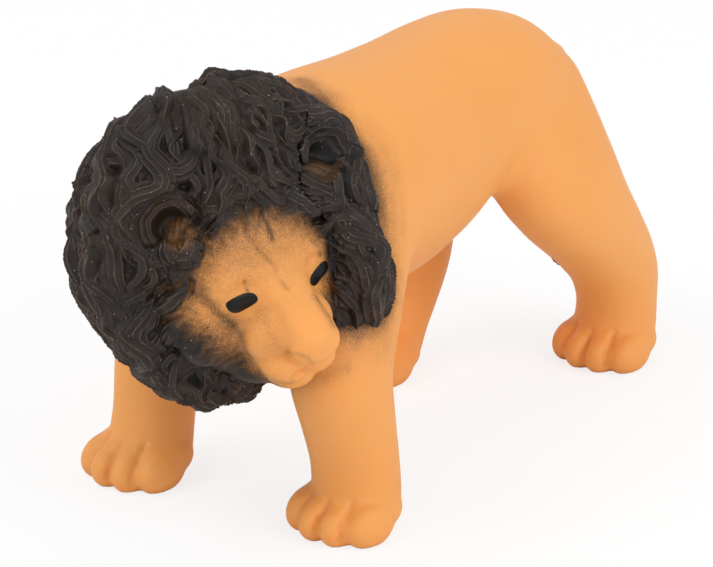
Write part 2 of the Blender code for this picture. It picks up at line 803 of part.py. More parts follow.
def add_ears(form):
    for side, centre, turn in ear_places():
        add_ellipsoid(form, centre, (EAR_WIDTH / 2, EAR_DEPTH / 2, EAR_WIDTH / 2), turn)


def model_head(finish):
    """Outer form of face, ears and mane, without its hollow."""
    form = bmesh.new()
    add_face_forms(form, BROAD_FACE_SHARES, BROAD_FACE_PAIR_SHARES, 0)
    add_bridge(form)
    head = add_form("head_skin", form, finish)
    model_clay(head, FACE_GRAIN, FACE_PASSES)
    form = bmesh.new()
    form.from_mesh(head.data)
    add_face_forms(form, FINE_FACE_SHARES, FINE_FACE_PAIR_SHARES, 0)
    add_eyes(form)
    add_mane_balls(form, LOCK_BEDDING)
    add_ears(form)
    add_locks(form, mane_tree())
    bmesh.ops.recalc_face_normals(form, faces=form.faces)
    form.to_mesh(head.data)
    form.free()
    model_clay(head, SKIN_GRAIN, 2, HEAD_FACES)
    for side, centre, turn in ear_places():
        form = bmesh.new()
        ahead = turn @ Vector((0, -EAR_DEPTH / 2, 0))
        radii = (EAR_WIDTH / 2 - EAR_WALL, EAR_DEPTH / 2, EAR_WIDTH / 2 - EAR_WALL)
        add_ellipsoid(form, centre + ahead, radii, turn)
        cut(head, as_cutter(add_form("ear_hollow_" + ("left" if side > 0 else "right"), form)))
    return head


def model_head_hollow():
    """Inside of the head, a wall inside its outer form."""
    form = bmesh.new()
    add_face_forms(form, BROAD_FACE_SHARES, BROAD_FACE_PAIR_SHARES, MANE_WALL)
    add_mane_balls(form, MANE_WALL)
    hollow = as_cutter(add_form("head_hollow", form))
    model_clay(hollow, HOLLOW_GRAIN, 4, HOLLOW_FACES)
    return hollow


def end_head_hollow(hollow, gap):
    """Keep an inside of the head so far ahead of the wall at the neck."""
    cut(hollow, neck_side(hollow.name + "_back", -1, -SKIN_WALL - gap))
    settle(hollow)


def model_head_room(head):
    """What the mane takes of the shoulders: the head's outer form, a small gap larger."""
    room = as_cutter(add_object("head_room", head.data.copy()))
    swell(room, MANE_GAP)
    model_clay(room, SKIN_GRAIN, 1, HEAD_FACES)
    cut(room, neck_side("head_room_end", -1, FIT_GAP))
    settle(room)
    return room


# Neck joint

def neck_axis():
    """Direction from the body into the head, square to the neck joint."""
    return Vector((0, -math.cos(NECK_LEAN), math.sin(NECK_LEAN)))


def neck_point(ahead):
    """Middle of the neck joint, or a point so far towards the head."""
    return Vector((0, NECK_Y, NECK_Z)) + neck_axis() * ahead


def neck_side(name, side, gap):
    """Everything on the head's side (1) or the body's (-1) of the neck joint."""
    reach = BODY_LENGTH * 2
    form = bmesh.new()
    axis = neck_axis() * side
    turn = axis.to_track_quat("Z", "Y").to_matrix().to_4x4()
    start = neck_point(side * gap) + axis * (reach / 2)
    place = Matrix.Translation(start) @ turn @ Matrix.Scale(reach, 4)
    bmesh.ops.create_cube(form, size=1.0, matrix=place)
    return as_cutter(add_form(name, form))


def shoulder_room(name, gap, height):
    """The part of the head's side that lies above a height."""
    room = neck_side(name, 1, gap)
    low = (-BODY_LENGTH, -BODY_LENGTH * 2, height + gap)
    cut(room, block(name + "_space", low, (BODY_LENGTH, BODY_LENGTH, BODY_LENGTH * 2)), "INTERSECT")
    settle(room)
    return room


def neck_bore(name, start, end, radius):
    """Cylinder on the neck's axis between two distances ahead of the joint."""
    return cylinder(name, neck_point(start), neck_axis(), end - start, radius)


# Tail and plug

def tail_peg_axis():
    """Direction of the tail's peg into the rump."""
    behind, above, _ = TAIL_SHARES[1]
    start_behind, start_above, _ = TAIL_SHARES[0]
    return Vector((0, start_behind - behind, start_above - above)).normalized()


def tail_root(body):
    """Place on the rump's surface where the tail comes out."""
    start = (0, BODY_LENGTH, TAIL_ROOT_HEIGHT)
    hit, point, _, _ = body.ray_cast(start, (0, -1, 0))
    if not hit:
        raise ValueError("no rump at the tail's height")
    return point


def tail_peg(name, root, length, radius):
    """Cylinder that starts in the tail and ends so far inside the rump."""
    start = root - tail_peg_axis() * TAIL_RADIUS
    return cylinder(name, start, tail_peg_axis(), TAIL_RADIUS + length, radius)


def model_tail(finish, body_outside, root):
    """Tapering tail that hangs behind the rump and ends in a ridged tuft."""
    side = Vector((1, 0, 0))
    rows = [(row, TAIL_RADIUS, 0) for row in TAIL_SHARES]
    rows += [(row, TUFT_RADIUS, 1) for row in TUFT_SHARES]
    stations = []
    for (behind, above, size), radius, ridged in rows:
        centre = root + Vector((0, behind * TAIL_LENGTH, above * TAIL_LENGTH))
        stations.append((centre, size * radius, ridged))
    rings = []
    for k, (centre, radius, ridged) in enumerate(stations):
        before = stations[max(k - 1, 0)][0]
        after = stations[min(k + 1, len(stations) - 1)][0]
        up = side.cross(after - before).normalized()
        ring = []
        for point in oval_ring(centre, side, up, radius, radius, count=RING_POINTS):
            offset = point - centre
            angle = math.atan2(offset.dot(up), offset.dot(side))
            ridge = 1 + ridged * TUFT_RIDGE_SHARE * math.cos(TUFT_RIDGES * angle + k)
            ring.append(centre + offset * ridge)
        rings.append(ring)
    form = bmesh.new()
    add_loft(form, rings)
    tail = add_form("tail", form, finish)
    cut(tail, body_outside)
    cut(tail, tail_peg("tail_peg", root, PEG_LENGTH, PEG_RADIUS), "UNION")
    return tail


def model_plug(finish, low):
    """Stepped plug that closes the filling hole in the belly, from its face up."""
    steps = [(0, PLUG_RADIUS), (PLUG_RIM, PLUG_RADIUS), (PLUG_RIM, PLUG_NECK_RADIUS),
             (PLUG_RIM + PLUG_NECK_LENGTH, PLUG_NECK_RADIUS)]
    side = Vector((1, 0, 0))
    back = Vector((0, 1, 0))
    rings = []
    for rise, radius in steps:
        rings.append(oval_ring(Vector((0, PLUG_Y, low + rise)), side, back, radius, radius))
    form = bmesh.new()
    add_loft(form, rings)
    return add_form("belly_plug", form, finish)


def plug_hole(name, radius, start, end):
    """Cylinder on the plug's axis between two heights."""
    return cylinder(name, Vector((0, PLUG_Y, start)), Vector((0, 0, 1)), end - start, radius,
                    sides=RING_POINTS)


# Filling

def model_stuffing(name, filling, finish, low, high):
    """Part of a filling that lies between two corners."""
    piece = add_object(name, filling.data.copy(), finish)
    cut(piece, block(name + "_space", low, high), "INTERSECT")
    return piece


def model_body_stuffing(filling, finish, root, plug_top):
    """Filling of the trunk, and one piece below the knee height for each leg."""
    reach = BODY_LENGTH
    cutters = [neck_bore("spigot_room", -SPIGOT_LENGTH - STUFFING_GAP, OVERRUN,
                         NECK_HOLE_RADIUS + STUFFING_GAP),
               tail_peg("tail_peg_room", root, PEG_LENGTH + STUFFING_GAP,
                        PEG_RADIUS + STUFFING_GAP),
               plug_hole("plug_room", PLUG_NECK_RADIUS + STUFFING_GAP, 0,
                         plug_top + STUFFING_GAP)]
    pieces = [model_stuffing("trunk_stuffing", filling, finish,
                             (-reach, -reach, KNEE_HEIGHT + FIT_GAP / 2), (reach, reach, reach))]
    for cutter in cutters:
        cut(pieces[0], cutter)
    weld(pieces[0])
    middle = (LEFT_FRONT_REACH + RIGHT_HIND_REACH) / 2
    for name, sign, _, foot, _ in LEGS:
        low = [-reach if sign < 0 else FIT_GAP, middle if foot > 0 else -reach, 0]
        high = [-FIT_GAP if sign < 0 else reach, reach if foot > 0 else middle,
                KNEE_HEIGHT - FIT_GAP / 2]
        pieces.append(model_stuffing(name + "_leg_stuffing", filling, finish, low, high))
    return pieces


def shade_round(pieces):
    """Shade every piece smooth but for its sharp edges."""
    for piece in pieces:
        settle(piece)
        piece.data.shade_smooth()
        piece.data.set_sharp_from_angle(angle=SHARP_ANGLE)


def stand_on_origin(pieces):
    """Hang everything on one empty so that the origin is under the figure's middle."""
    corners = []
    for piece in pieces:
        corners += [vert.co.copy() for vert in piece.data.vertices]
    middle = [(min(p[i] for p in corners) + max(p[i] for p in corners)) / 2 for i in (0, 1)]
    figure = bpy.data.objects.new("figure", None)
    bpy.context.scene.collection.objects.link(figure)
    for item in bpy.data.objects:
        if item is not figure:
            item.parent = figure
    figure.location = (-middle[0], -middle[1], 0)
    bpy.context.view_layer.update()


def main():
    clear_scene()
    vinyl = material("orange_vinyl", (0.90, 0.42, 0.13), 0.5)
    mane = material("sprayed_vinyl", (0.035, 0.027, 0.022), 0.6)
    fibre = material("white_fibre", (0.80, 0.78, 0.74), 0.95)

    body = model_body(vinyl)
    body_outside = as_cutter(add_object("body_outside", body.data.copy()))
    swell(body_outside, FIT_GAP)
    body_hollow = model_body_hollow()
    body_filling = filling_of("body_filling", body_hollow)
    end_body_hollow(body_hollow, 0)
    end_body_hollow(body_filling, STUFFING_GAP)
    head = model_head(mane)
    head_room = model_head_room(head)
    head_hollow = model_head_hollow()
    head_filling = filling_of("head_filling", head_hollow)
    end_head_hollow(head_hollow, 0)
    end_head_hollow(head_filling, STUFFING_GAP)

    floor = block("floor", (-BODY_LENGTH, -BODY_LENGTH, -BODY_LENGTH),
                  (BODY_LENGTH, BODY_LENGTH, 0))
    cut(body, floor)
    cut(body, shoulder_room("shoulder", -FIT_GAP / 2, SHOULDER_CUT_HEIGHT))
    cut(body, head_room)
    weld(body)
    cut(body_hollow, neck_bore("neck_hole", -SKIN_WALL - OVERRUN, OVERRUN, NECK_HOLE_RADIUS),
        "UNION")
    cut(body, body_hollow)
    weld(body)
    root = tail_root(body_outside)
    tail = model_tail(vinyl, body_outside, root)
    cut(body, tail_peg("tail_hole", root, PEG_LENGTH + FIT_GAP, PEG_RADIUS + FIT_GAP))
    plug_low = belly_height(body_outside) + PLUG_SINK
    plug = model_plug(vinyl, plug_low)
    cut(body, plug_hole("plug_seat", PLUG_RADIUS + FIT_GAP, 0, plug_low + PLUG_RIM + FIT_GAP))
    cut(body, plug_hole("plug_hole", PLUG_NECK_RADIUS + FIT_GAP, 0, plug_low + SKIN_WALL + OVERRUN))

    cut(head, neck_side("body_room", -1, -FIT_GAP / 2))
    spigot_radius = NECK_HOLE_RADIUS - FIT_GAP
    cut(head, neck_bore("spigot", -SPIGOT_LENGTH, SKIN_WALL, spigot_radius), "UNION")
    cut(head, head_hollow)
    cut(head, neck_bore("spigot_bore", -SPIGOT_LENGTH - OVERRUN, SKIN_WALL + OVERRUN,
                        spigot_radius - SPIGOT_WALL))

    stuffing = model_body_stuffing(body_filling, fibre, root, plug_low + PLUG_RIM + PLUG_NECK_LENGTH)
    reach = BODY_LENGTH
    head_stuffing = model_stuffing("head_stuffing", head_filling, fibre, (-reach, -reach, 0),
                                   (reach, reach, reach))
    pieces = [body, head, tail, plug, head_stuffing, *stuffing]
    shade_round(pieces)
    stand_on_origin(pieces)


if __name__ in ("__main__", "part"):
    main()
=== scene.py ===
"""Looks of the toy lion: soft orange vinyl with a sculpted mane sprayed black-brown."""

import math

import bmesh
import bpy
import numpy as np
from bpy.props import FloatProperty, FloatVectorProperty, PointerProperty
from mathutils import Matrix, Vector, noise
from mathutils.bvhtree import BVHTree


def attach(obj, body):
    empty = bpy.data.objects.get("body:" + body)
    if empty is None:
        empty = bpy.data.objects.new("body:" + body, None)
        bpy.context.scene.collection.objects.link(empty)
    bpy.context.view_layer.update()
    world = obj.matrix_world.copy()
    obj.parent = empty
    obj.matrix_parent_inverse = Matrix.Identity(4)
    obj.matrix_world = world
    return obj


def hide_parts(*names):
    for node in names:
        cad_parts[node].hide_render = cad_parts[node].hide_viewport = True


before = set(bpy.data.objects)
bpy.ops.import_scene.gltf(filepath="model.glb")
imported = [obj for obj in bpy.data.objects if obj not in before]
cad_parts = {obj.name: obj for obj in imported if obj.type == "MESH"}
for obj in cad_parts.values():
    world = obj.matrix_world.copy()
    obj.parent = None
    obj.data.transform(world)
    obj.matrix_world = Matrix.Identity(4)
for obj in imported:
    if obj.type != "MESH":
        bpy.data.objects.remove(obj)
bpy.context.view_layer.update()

bl_info = {
    "name": "Toy lion figure",
    "version": (1, 0, 0),
    "blender": (4, 5, 0),
    "location": "3D View > Sidebar > Lion",
    "description": "Vinyl skins, sculpted mane, painted eyes, filling and stage of a toy lion",
    "category": "Object",
}

MM = 0.001
FAR = 1e9
WHITE = (1, 1, 1, 1)
ACROSS, ALONG, UPWARDS = Vector((1, 0, 0)), Vector((0, 1, 0)), Vector((0, 0, 1))

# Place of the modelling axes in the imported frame
FRAME_SHIFT = Vector((0.54, 5.17, 0)) * MM

# Head: the point between the eyes, its yaw to the lion's left and its roll
BROW = Vector((39, -106, 93.8)) * MM
HEAD = (Matrix.Translation(BROW) @ Matrix.Rotation(math.radians(77), 4, "Z")
        @ Matrix.Rotation(math.radians(-5), 4, "Y"))

# Camera of the photograph
VIEW_TARGET = Vector((16.96, -35.78, 68.3)) * MM
VIEW_AZIMUTH = math.radians(35)
VIEW_ELEVATION = math.radians(21)
VIEW_DISTANCE = 1200 * MM
PHOTO_WIDTH = 713
PHOTO_HEIGHT = 567
FOCAL_PIXELS = 3600
SENSOR_WIDTH = 36

# Lamps by place in metres and power in watts, their width and the point they face
LAMPS = (("key", (-1.0, -1.5, 2.4), 22.0), ("fill", (2.2, -0.2, 1.5), 20.0))
LAMP_SIZE = 1.4
LAMP_TARGET = Vector((0, 0, 0.07))

# Stance, in millimetres
BODY_LENGTH, BACK_HEIGHT, TRUNK_WIDTH = 200, 140, 87
LEG_WIDTH, PAW_WIDTH, PAW_LENGTH, PAW_HEIGHT = 30, 36, 38, 17
PAW_SINK = 1.5

# Trunk from chest to rump: along, top, underside, half width
TRUNK = [
    (-0.43, 0.72, 0.52, 0.20),
    (-0.40, 0.82, 0.46, 0.32),
    (-0.33, 0.93, 0.42, 0.40),
    (-0.24, 0.975, 0.415, 0.455),
    (-0.14, 0.98, 0.42, 0.455),
    (-0.02, 0.97, 0.425, 0.425),
    (0.10, 0.97, 0.46, 0.395),
    (0.21, 0.975, 0.545, 0.375),
    (0.31, 0.97, 0.59, 0.36),
    (0.40, 0.935, 0.58, 0.32),
    (0.475, 0.85, 0.59, 0.255),
    (0.52, 0.75, 0.63, 0.16),
]

# Legs from shoulder or hip to sole: height, sideways, backwards, half width, half depth
LEGS = {
    "left_front": (40.5, -73, [
        (0.76, 0.50, 0.17, 0.40, 0.55),
        (0.64, 0.68, 0.12, 0.52, 0.70),
        (0.51, 0.86, 0.03, 0.53, 0.68),
        (0.38, 0.96, -0.018, 0.49, 0.60),
        (0.27, 1.00, -0.005, 0.46, 0.53),
        (0.16, 1.00, 0.015, 0.44, 0.48),
        (0.08, 1.00, 0.02, 0.45, 0.49),
        (0.00, 1.00, 0.01, 0.48, 0.50),
    ]),
    "right_front": (-40.5, -78, [
        (0.76, 0.50, 0.19, 0.40, 0.55),
        (0.64, 0.70, 0.14, 0.51, 0.68),
        (0.51, 0.88, 0.08, 0.50, 0.63),
        (0.38, 0.99, 0.05, 0.44, 0.53),
        (0.27, 1.03, 0.04, 0.42, 0.48),
        (0.16, 1.03, 0.035, 0.42, 0.47),
        (0.08, 1.03, 0.02, 0.44, 0.49),
        (0.00, 1.03, 0.01, 0.47, 0.50),
    ]),
    "left_hind": (32, 103, [
        (0.82, 0.42, -0.14, 0.40, 0.70),
        (0.70, 0.64, -0.17, 0.53, 0.96),
        (0.60, 0.83, -0.175, 0.57, 1.04),
        (0.50, 0.97, -0.15, 0.55, 0.98),
        (0.41, 1.03, -0.10, 0.52, 0.90),
        (0.32, 1.03, -0.035, 0.48, 0.77),
        (0.23, 1.03, 0.015, 0.45, 0.62),
        (0.15, 1.03, 0.025, 0.43, 0.50),
        (0.07, 1.03, 0.015, 0.48, 0.52),
        (0.00, 1.03, 0.00, 0.48, 0.50),
    ]),
    "right_hind": (-32, 42, [
        (0.82, 0.42, 0.17, 0.40, 0.75),
        (0.70, 0.62, 0.125, 0.53, 1.03),
        (0.58, 0.80, 0.09, 0.56, 0.96),
        (0.48, 0.91, 0.09, 0.53, 0.80),
        (0.39, 0.95, 0.11, 0.49, 0.65),
        (0.30, 0.96, 0.13, 0.45, 0.53),
        (0.22, 0.96, 0.12, 0.43, 0.47),
        (0.14, 0.96, 0.085, 0.42, 0.45),
        (0.07, 0.95, 0.04, 0.45, 0.46),
        (0.00, 0.94, 0.01, 0.46, 0.46),
    ]),
}
# Toes by their places across the paw and ahead of its middle
TOES = [(-0.33, 0.22), (-0.115, 0.33), (0.115, 0.33), (0.33, 0.22)]


# Clay: closed forms in a bmesh, fused into one surface

def face_point(forward, left, up):
    """Point in millimetres ahead, to the left and above the point between the eyes."""
    return HEAD @ (Vector((left, -forward, up)) * MM)


def ball(form, place, radii, subdivisions=4):
    """Ellipsoid at a 4x4 place, with its radii in millimetres."""
    size = Matrix.Diagonal((*[radius * MM for radius in radii], 1.0))
    bmesh.ops.create_icosphere(form, subdivisions=subdivisions, radius=1.0, matrix=place @ size)


def on_head(forward, left, up):
    """Place with the head's directions, in millimetres from the point between the eyes."""
    return HEAD @ Matrix.Translation(Vector((left, -forward, up)) * MM)


def face_ball(form, forward, left, up, wide, long, high, dip=0, roll=0):
    """Ellipsoid of the head, turned by degrees."""
    turn = Matrix.Rotation(math.radians(dip), 4, "X") @ Matrix.Rotation(math.radians(roll), 4, "Y")
    ball(form, on_head(forward, left, up) @ turn, (wide, long, high))


def loft(form, rings):
    """Bridge closed rings of points and close both ends."""
    loops = [[form.verts.new(point) for point in ring] for ring in rings]
    for first, second in zip(loops, loops[1:]):
        for k in range(len(first)):
            nxt = (k + 1) % len(first)
            form.faces.new((first[k], first[nxt], second[nxt], second[k]))
    for loop in (loops[0], loops[-1]):
        hub = form.verts.new(sum((vert.co for vert in loop), Vector()) / len(loop))
        for k, vert in enumerate(loop):
            form.faces.new((vert, loop[(k + 1) % len(loop)], hub))


OVAL_POINTS = 32


def oval(centre, side, up, half_side, half_up, square=2.0):
    """Ring of points, fuller at its corners as square rises above 2."""
    ring = []
    for k in range(OVAL_POINTS):
        angle = math.tau * k / OVAL_POINTS
        across, along = math.cos(angle), math.sin(angle)
        across = math.copysign(abs(across) ** (2 / square), across)
        along = math.copysign(abs(along) ** (2 / square), along)
        ring.append(centre + side * (across * half_side) + up * (along * half_up))
    return ring


def fused(form, grain, passes):
    """One smooth surface from the closed forms of a bmesh, its grain in millimetres."""
    bmesh.ops.recalc_face_normals(form, faces=form.faces)
    mesh = bpy.data.meshes.new("clay")
    form.to_mesh(mesh)
    form.free()
    item = bpy.data.objects.new("clay", mesh)
    bpy.context.scene.collection.objects.link(item)
    remesh = item.modifiers.new("clay", "REMESH")
    remesh.mode = "VOXEL"
    remesh.voxel_size = grain * MM
    smooth = item.modifiers.new("smooth", "SMOOTH")
    smooth.factor = 0.5
    smooth.iterations = passes
    graph = bpy.context.evaluated_depsgraph_get()
    graph.update()
    result = bpy.data.meshes.new_from_object(item.evaluated_get(graph))
    bpy.data.objects.remove(item)
    return result


class Skin:
    """Surface whose points are pressed and raised along lines."""

    def __init__(self, mesh):
        self.mesh = mesh
        self.read()

    def read(self):
        count = len(self.mesh.vertices)
        flat = np.empty(count * 3)
        self.mesh.vertices.foreach_get("co", flat)
        self.points = flat.reshape(-1, 3)
        flat = np.empty(count * 3)
        self.mesh.vertex_normals.foreach_get("vector", flat)
        self.normals = flat.reshape(-1, 3)

    def write(self):
        self.mesh.vertices.foreach_set("co", self.points.ravel())
        self.mesh.update()
        self.read()

    def tree(self):
        faces = [tuple(face.vertices) for face in self.mesh.polygons]
        return BVHTree.FromPolygons([tuple(point) for point in self.points], faces)

    def press(self, path, width, depth, ends=0.25):
        """Press a groove along a path that runs out over a share of it at both ends."""
        distance, along = path_reach(self.points, path)
        fall = np.exp(-(distance / (width * MM)) ** 2)
        fade = np.clip(np.minimum(along, 1 - along) / ends, 0, 1) if ends else 1
        self.points -= self.normals * (depth * MM * fall * fade)[:, None]

    def relax(self, passes, mask=None):
        """Even out the surface, where the mask is 1."""
        edges = np.empty(len(self.mesh.edges) * 2, dtype=np.int64)
        self.mesh.edges.foreach_get("vertices", edges)
        edges = edges.reshape(-1, 2)
        size = len(self.points)
        count = np.bincount(edges.ravel(), minlength=size)[:, None]
        first, second = edges.T
        for _ in range(passes):
            total = np.zeros_like(self.points)
            for axis in range(3):
                total[:, axis] = (np.bincount(first, self.points[second, axis], size)
                                  + np.bincount(second, self.points[first, axis], size))
            step = (total / np.maximum(count, 1) - self.points) * 0.5
            self.points += step if mask is None else step * mask[:, None]


def path_reach(points, path):
    """Distance of each point from a path, and how far along the path it lies."""
    best = np.full(len(points), FAR)
    along = np.zeros(len(points))
    steps = [np.array(p) for p in path]
    for k, (a, b) in enumerate(zip(steps, steps[1:])):
        d = b - a
        t = np.clip(((points - a) @ d) / max(d @ d, 1e-12), 0, 1)
        gap = np.linalg.norm(points - (a + t[:, None] * d), axis=1)
        near = gap < best
        best[near] = gap[near]
        along[near] = ((k + t) / (len(steps) - 1))[near]
    return best, along


# View of the photograph

def view_axes():
    """Sideways, upwards and backwards from the photograph's camera."""
    flat = math.cos(VIEW_ELEVATION)
    back = Vector((math.sin(VIEW_AZIMUTH) * flat, -math.cos(VIEW_AZIMUTH) * flat, math.sin(VIEW_ELEVATION)))
    side = Vector((math.cos(VIEW_AZIMUTH), math.sin(VIEW_AZIMUTH), 0))
    return side, back.cross(side), back


def seen(tree, x, y):
    """Point of a surface that shows at a place of the photograph."""
    side, up, back = view_axes()
    eye = VIEW_TARGET + back * VIEW_DISTANCE
    across, down = (x - PHOTO_WIDTH / 2) / FOCAL_PIXELS, (y - PHOTO_HEIGHT / 2) / FOCAL_PIXELS
    ray = -back + side * across - up * down
    ray.normalize()
    hit = tree.ray_cast(eye, ray)[0]
    if hit is None:
        hit = tree.find_nearest(eye + ray * (BROW - eye).length)[0]
    return hit


def seen_path(tree, places):
    """Path on a surface through places of the photograph."""
    return [seen(tree, x, y) for x, y in places]


def mirrored(path):
    """The same path on the other half of the face."""
    inverse = HEAD.inverted()
    return [HEAD @ Vector((-(inverse @ p).x, (inverse @ p).y, (inverse @ p).z)) for p in path]


# Body

def trunk_rings():
    """Rings of the trunk from chest to rump."""
    rings = []
    for along, top, under, wide in TRUNK:
        high, low = top * BACK_HEIGHT, under * BACK_HEIGHT
        centre = Vector((0, along * BODY_LENGTH, (high + low) / 2)) * MM
        rings.append(oval(centre, ACROSS, UPWARDS, wide * TRUNK_WIDTH * MM,
                          (high - low) / 2 * MM))
    return rings


def leg_rings(leg):
    """Rings of a leg from its top to the sole."""
    out, reach, rows = LEGS[leg]
    rings = []
    for height, place, behind, wide, deep in rows:
        centre = Vector((place * out, reach + behind * BODY_LENGTH, height * BACK_HEIGHT)) * MM
        rings.append(oval(centre, ACROSS, ALONG, wide * LEG_WIDTH * MM,
                          deep * LEG_WIDTH * MM, square=2.1))
    return rings


def paw_forms(form, leg):
    """Ball of a paw with its four toes."""
    out, reach, rows = LEGS[leg]
    x = out * rows[-1][1]
    ball(form, Matrix.Translation(Vector((x, reach, 0.55 * PAW_HEIGHT - PAW_SINK)) * MM),
         (0.49 * PAW_WIDTH, 0.43 * PAW_LENGTH, 0.57 * PAW_HEIGHT))
    for across, ahead in TOES:
        middle = (x + across * PAW_WIDTH, reach - (ahead - 0.07) * PAW_LENGTH, 0.42 * PAW_HEIGHT - PAW_SINK)
        ball(form, Matrix.Translation(Vector(middle) * MM),
             (0.178 * PAW_WIDTH, 0.29 * PAW_LENGTH, 0.46 * PAW_HEIGHT))


# Strands that the mane leaves on the shoulder, by their places in the photograph
SHOULDER_LINES = [
    [(338, 100), (358, 145), (371, 200), (377, 250)],
    [(350, 100), (369, 148), (381, 200), (386, 250), (381, 296)],
    [(362, 96), (381, 150), (392, 205), (395, 256), (388, 300)],
    [(372, 112), (390, 160), (402, 215), (404, 262)],
]


def body_surface():
    """Trunk, legs and paws in one skin, like the moulding."""
    form = bmesh.new()
    loft(form, trunk_rings())
    for leg in LEGS:
        loft(form, leg_rings(leg))
    trunk = fused(form, 2.5, 26)
    skin = Skin(trunk)
    skin.points += skin.normals * (1.2 * MM)
    skin.write()
    form = bmesh.new()
    form.from_mesh(trunk)
    for leg in LEGS:
        paw_forms(form, leg)
    mesh = fused(form, 0.9, 8)
    skin = Skin(mesh)
    sculpt_paws(skin)
    tree = skin.tree()
    for places in SHOULDER_LINES:
        skin.press(seen_path(tree, places), 1.3, 0.55)
    skin.points[:, 2] = np.maximum(skin.points[:, 2], 0)
    skin.write()
    return mesh


def sculpt_paws(skin):
    """Grooves between the toes."""
    for out, reach, rows in LEGS.values():
        x = out * rows[-1][1]
        for k in range(len(TOES) - 1):
            across = (TOES[k][0] + TOES[k + 1][0]) / 2 * PAW_WIDTH
            ahead = (TOES[k][1] + TOES[k + 1][1]) / 2 * PAW_LENGTH
            path = [Vector((x + across * 0.8, reach - ahead * 0.2, 17)) * MM,
                    Vector((x + across * 0.95, reach - ahead * 0.9, 14)) * MM,
                    Vector((x + across * 1.05, reach - ahead - 0.17 * PAW_LENGTH, 8)) * MM,
                    Vector((x + across * 1.05, reach - ahead - 0.2 * PAW_LENGTH, 0)) * MM]
            skin.press(path, 1.0, 1.5, ends=0)


# Head

# Middle of each ear: ahead, to the left, up
EARS = {1: (-17.5, 31.5, 27.5), -1: (-18.5, -28.5, 25.0)}
RIM_BALLS = 90
HEAD_GRAIN = 0.5

# Bridge of the nose: ahead, up, half width, half height, dip in degrees
FACE_BRIDGE = [
    (-16, 20, 15, 6, 60),
    (-9.5, 9, 13, 7, 45),
    (-4.5, 0, 11, 7, 38),
    (1.5, -5.5, 9.6, 7, 34),
    (7.5, -10, 8.8, 6.8, 30),
    (12.5, -13, 8.6, 5.8, 25),
    (15.5, -14.5, 7.0, 4.2, 20),
    (17.2, -15.2, 4.0, 2.4, 15),
]


def face_forms(form):
    """Skull, jaw, cheeks, pads and the bridge of the nose."""
    face_ball(form, -22, 0, -2, 33, 22, 31)
    face_ball(form, -3, 0, -17, 14, 12, 12)
    face_ball(form, -13, 0, -26, 15, 15, 9)
    for side in (1, -1):
        face_ball(form, -13.2, side * 15, 5.0, 12.5, 11.2, 9.0, roll=side * 12)
        face_ball(form, -15, side * 20, -12, 12, 9.5, 12)
        face_ball(form, -2, side * 7.5, -13, 9, 11, 9)
    rings = []
    for forward, up, wide, high, dip in FACE_BRIDGE:
        tilt = math.radians(dip)
        rise = HEAD.to_3x3() @ Vector((0, -math.sin(tilt), math.cos(tilt)))
        rings.append(oval(face_point(forward, 0, up), HEAD.to_3x3() @ ACROSS, rise,
                          wide * MM, high * MM, square=2.4))
    loft(form, rings)


def fine_face_forms(form):
    """Eyelids, muzzle pads, nose and chin."""
    for side in (1, -1):
        face_ball(form, -6.6, side * 16.2, -0.8, 7.4, 4.4, 4.4, roll=side * 12)
        face_ball(form, 2.8, side * 5.8, -22.6, 7.9, 8.6, 7.0, dip=12)
    face_ball(form, 12.0, 0, -14.8, 9.0, 6.8, 7.3, dip=22)
    face_ball(form, -1.0, 0, -29.0, 7.8, 8.4, 5.2)


def ear_place(side):
    """Middle of an ear: its cup opens forwards, outwards and up."""
    return (on_head(*EARS[side]) @ Matrix.Rotation(math.radians(44 * side), 4, "Z")
            @ Matrix.Rotation(math.radians(-26), 4, "X"))


def ear_places(points, side):
    """Points by their places in an ear: to its outer edge, along its axis and up, in millimetres."""
    place = np.array(ear_place(side))
    local = (points - place[:3, 3]) @ place[:3, :3] / MM
    return local[:, 0] * side, local[:, 1], local[:, 2]


def ear_rims(form):
    """Curled rim round each ear, open towards the face."""
    for side in EARS:
        place = ear_place(side)
        for k in range(RIM_BALLS):
            share = k / (RIM_BALLS - 1)
            angle = math.radians(-58 + 180 * share)
            sink = 9 * (share - 0.45) ** 2
            spot = Vector((side * 7.6 * math.sin(angle), sink, 8.1 * math.cos(angle)))
            full = 2.1 * (0.35 + 0.65 * math.sin(math.pi * (0.1 + 0.82 * share)))
            ball(form, place @ Matrix.Translation(spot * MM), (full, full * 1.15, full), 2)


def head_surface():
    """Face, ears and mane in one skin, like the moulding."""
    form = bmesh.new()
    face_forms(form)
    rough = fused(form, 1.0, 14)
    form = bmesh.new()
    form.from_mesh(rough)
    fine_face_forms(form)
    mane_forms(form)
    ear_rims(form)
    mesh = fused(form, HEAD_GRAIN, 7)
    skin = Skin(mesh)
    ring, ahead = face_rings(skin.points)
    near = np.exp(-((ring - 0.98) / 0.16) ** 2) * (ahead > -42)
    for side in EARS:
        near *= smooth_step(10, 14, ear_distance(skin.points, side))
    skin.relax(26, near)
    skin.write()
    sculpt_face(skin)
    for side in EARS:
        hollow_ear(skin, side)
    skin.write()
    return skin


def ear_distance(points, side):
    """Distance of points from the middle of an ear, in millimetres."""
    centre = np.array(ear_place(side).translation)
    return np.linalg.norm(points - centre, axis=1) / MM


def hollow_ear(skin, side):
    """Hollow under an ear's rim, deepest behind the rim and rising in a tuft towards the face."""
    outward, inward, rise = ear_places(skin.points, side)
    inside = (1 - smooth_step(3.6, 6.6, np.hypot(outward, rise))) * (np.abs(inward) < 8)
    slope = 0.75 * outward + 0.65 * rise
    deep = 0.3 + 4.6 * smooth_step(-3.5, 3.5, slope)
    tuft = 0.22 * np.cos(outward * 3.2 + 0.6 * rise) * smooth_step(2, -3, slope)
    axis = np.array(ear_place(side))[:3, 1]
    skin.points += axis * (inside * (deep + tuft) * MM)[:, None]


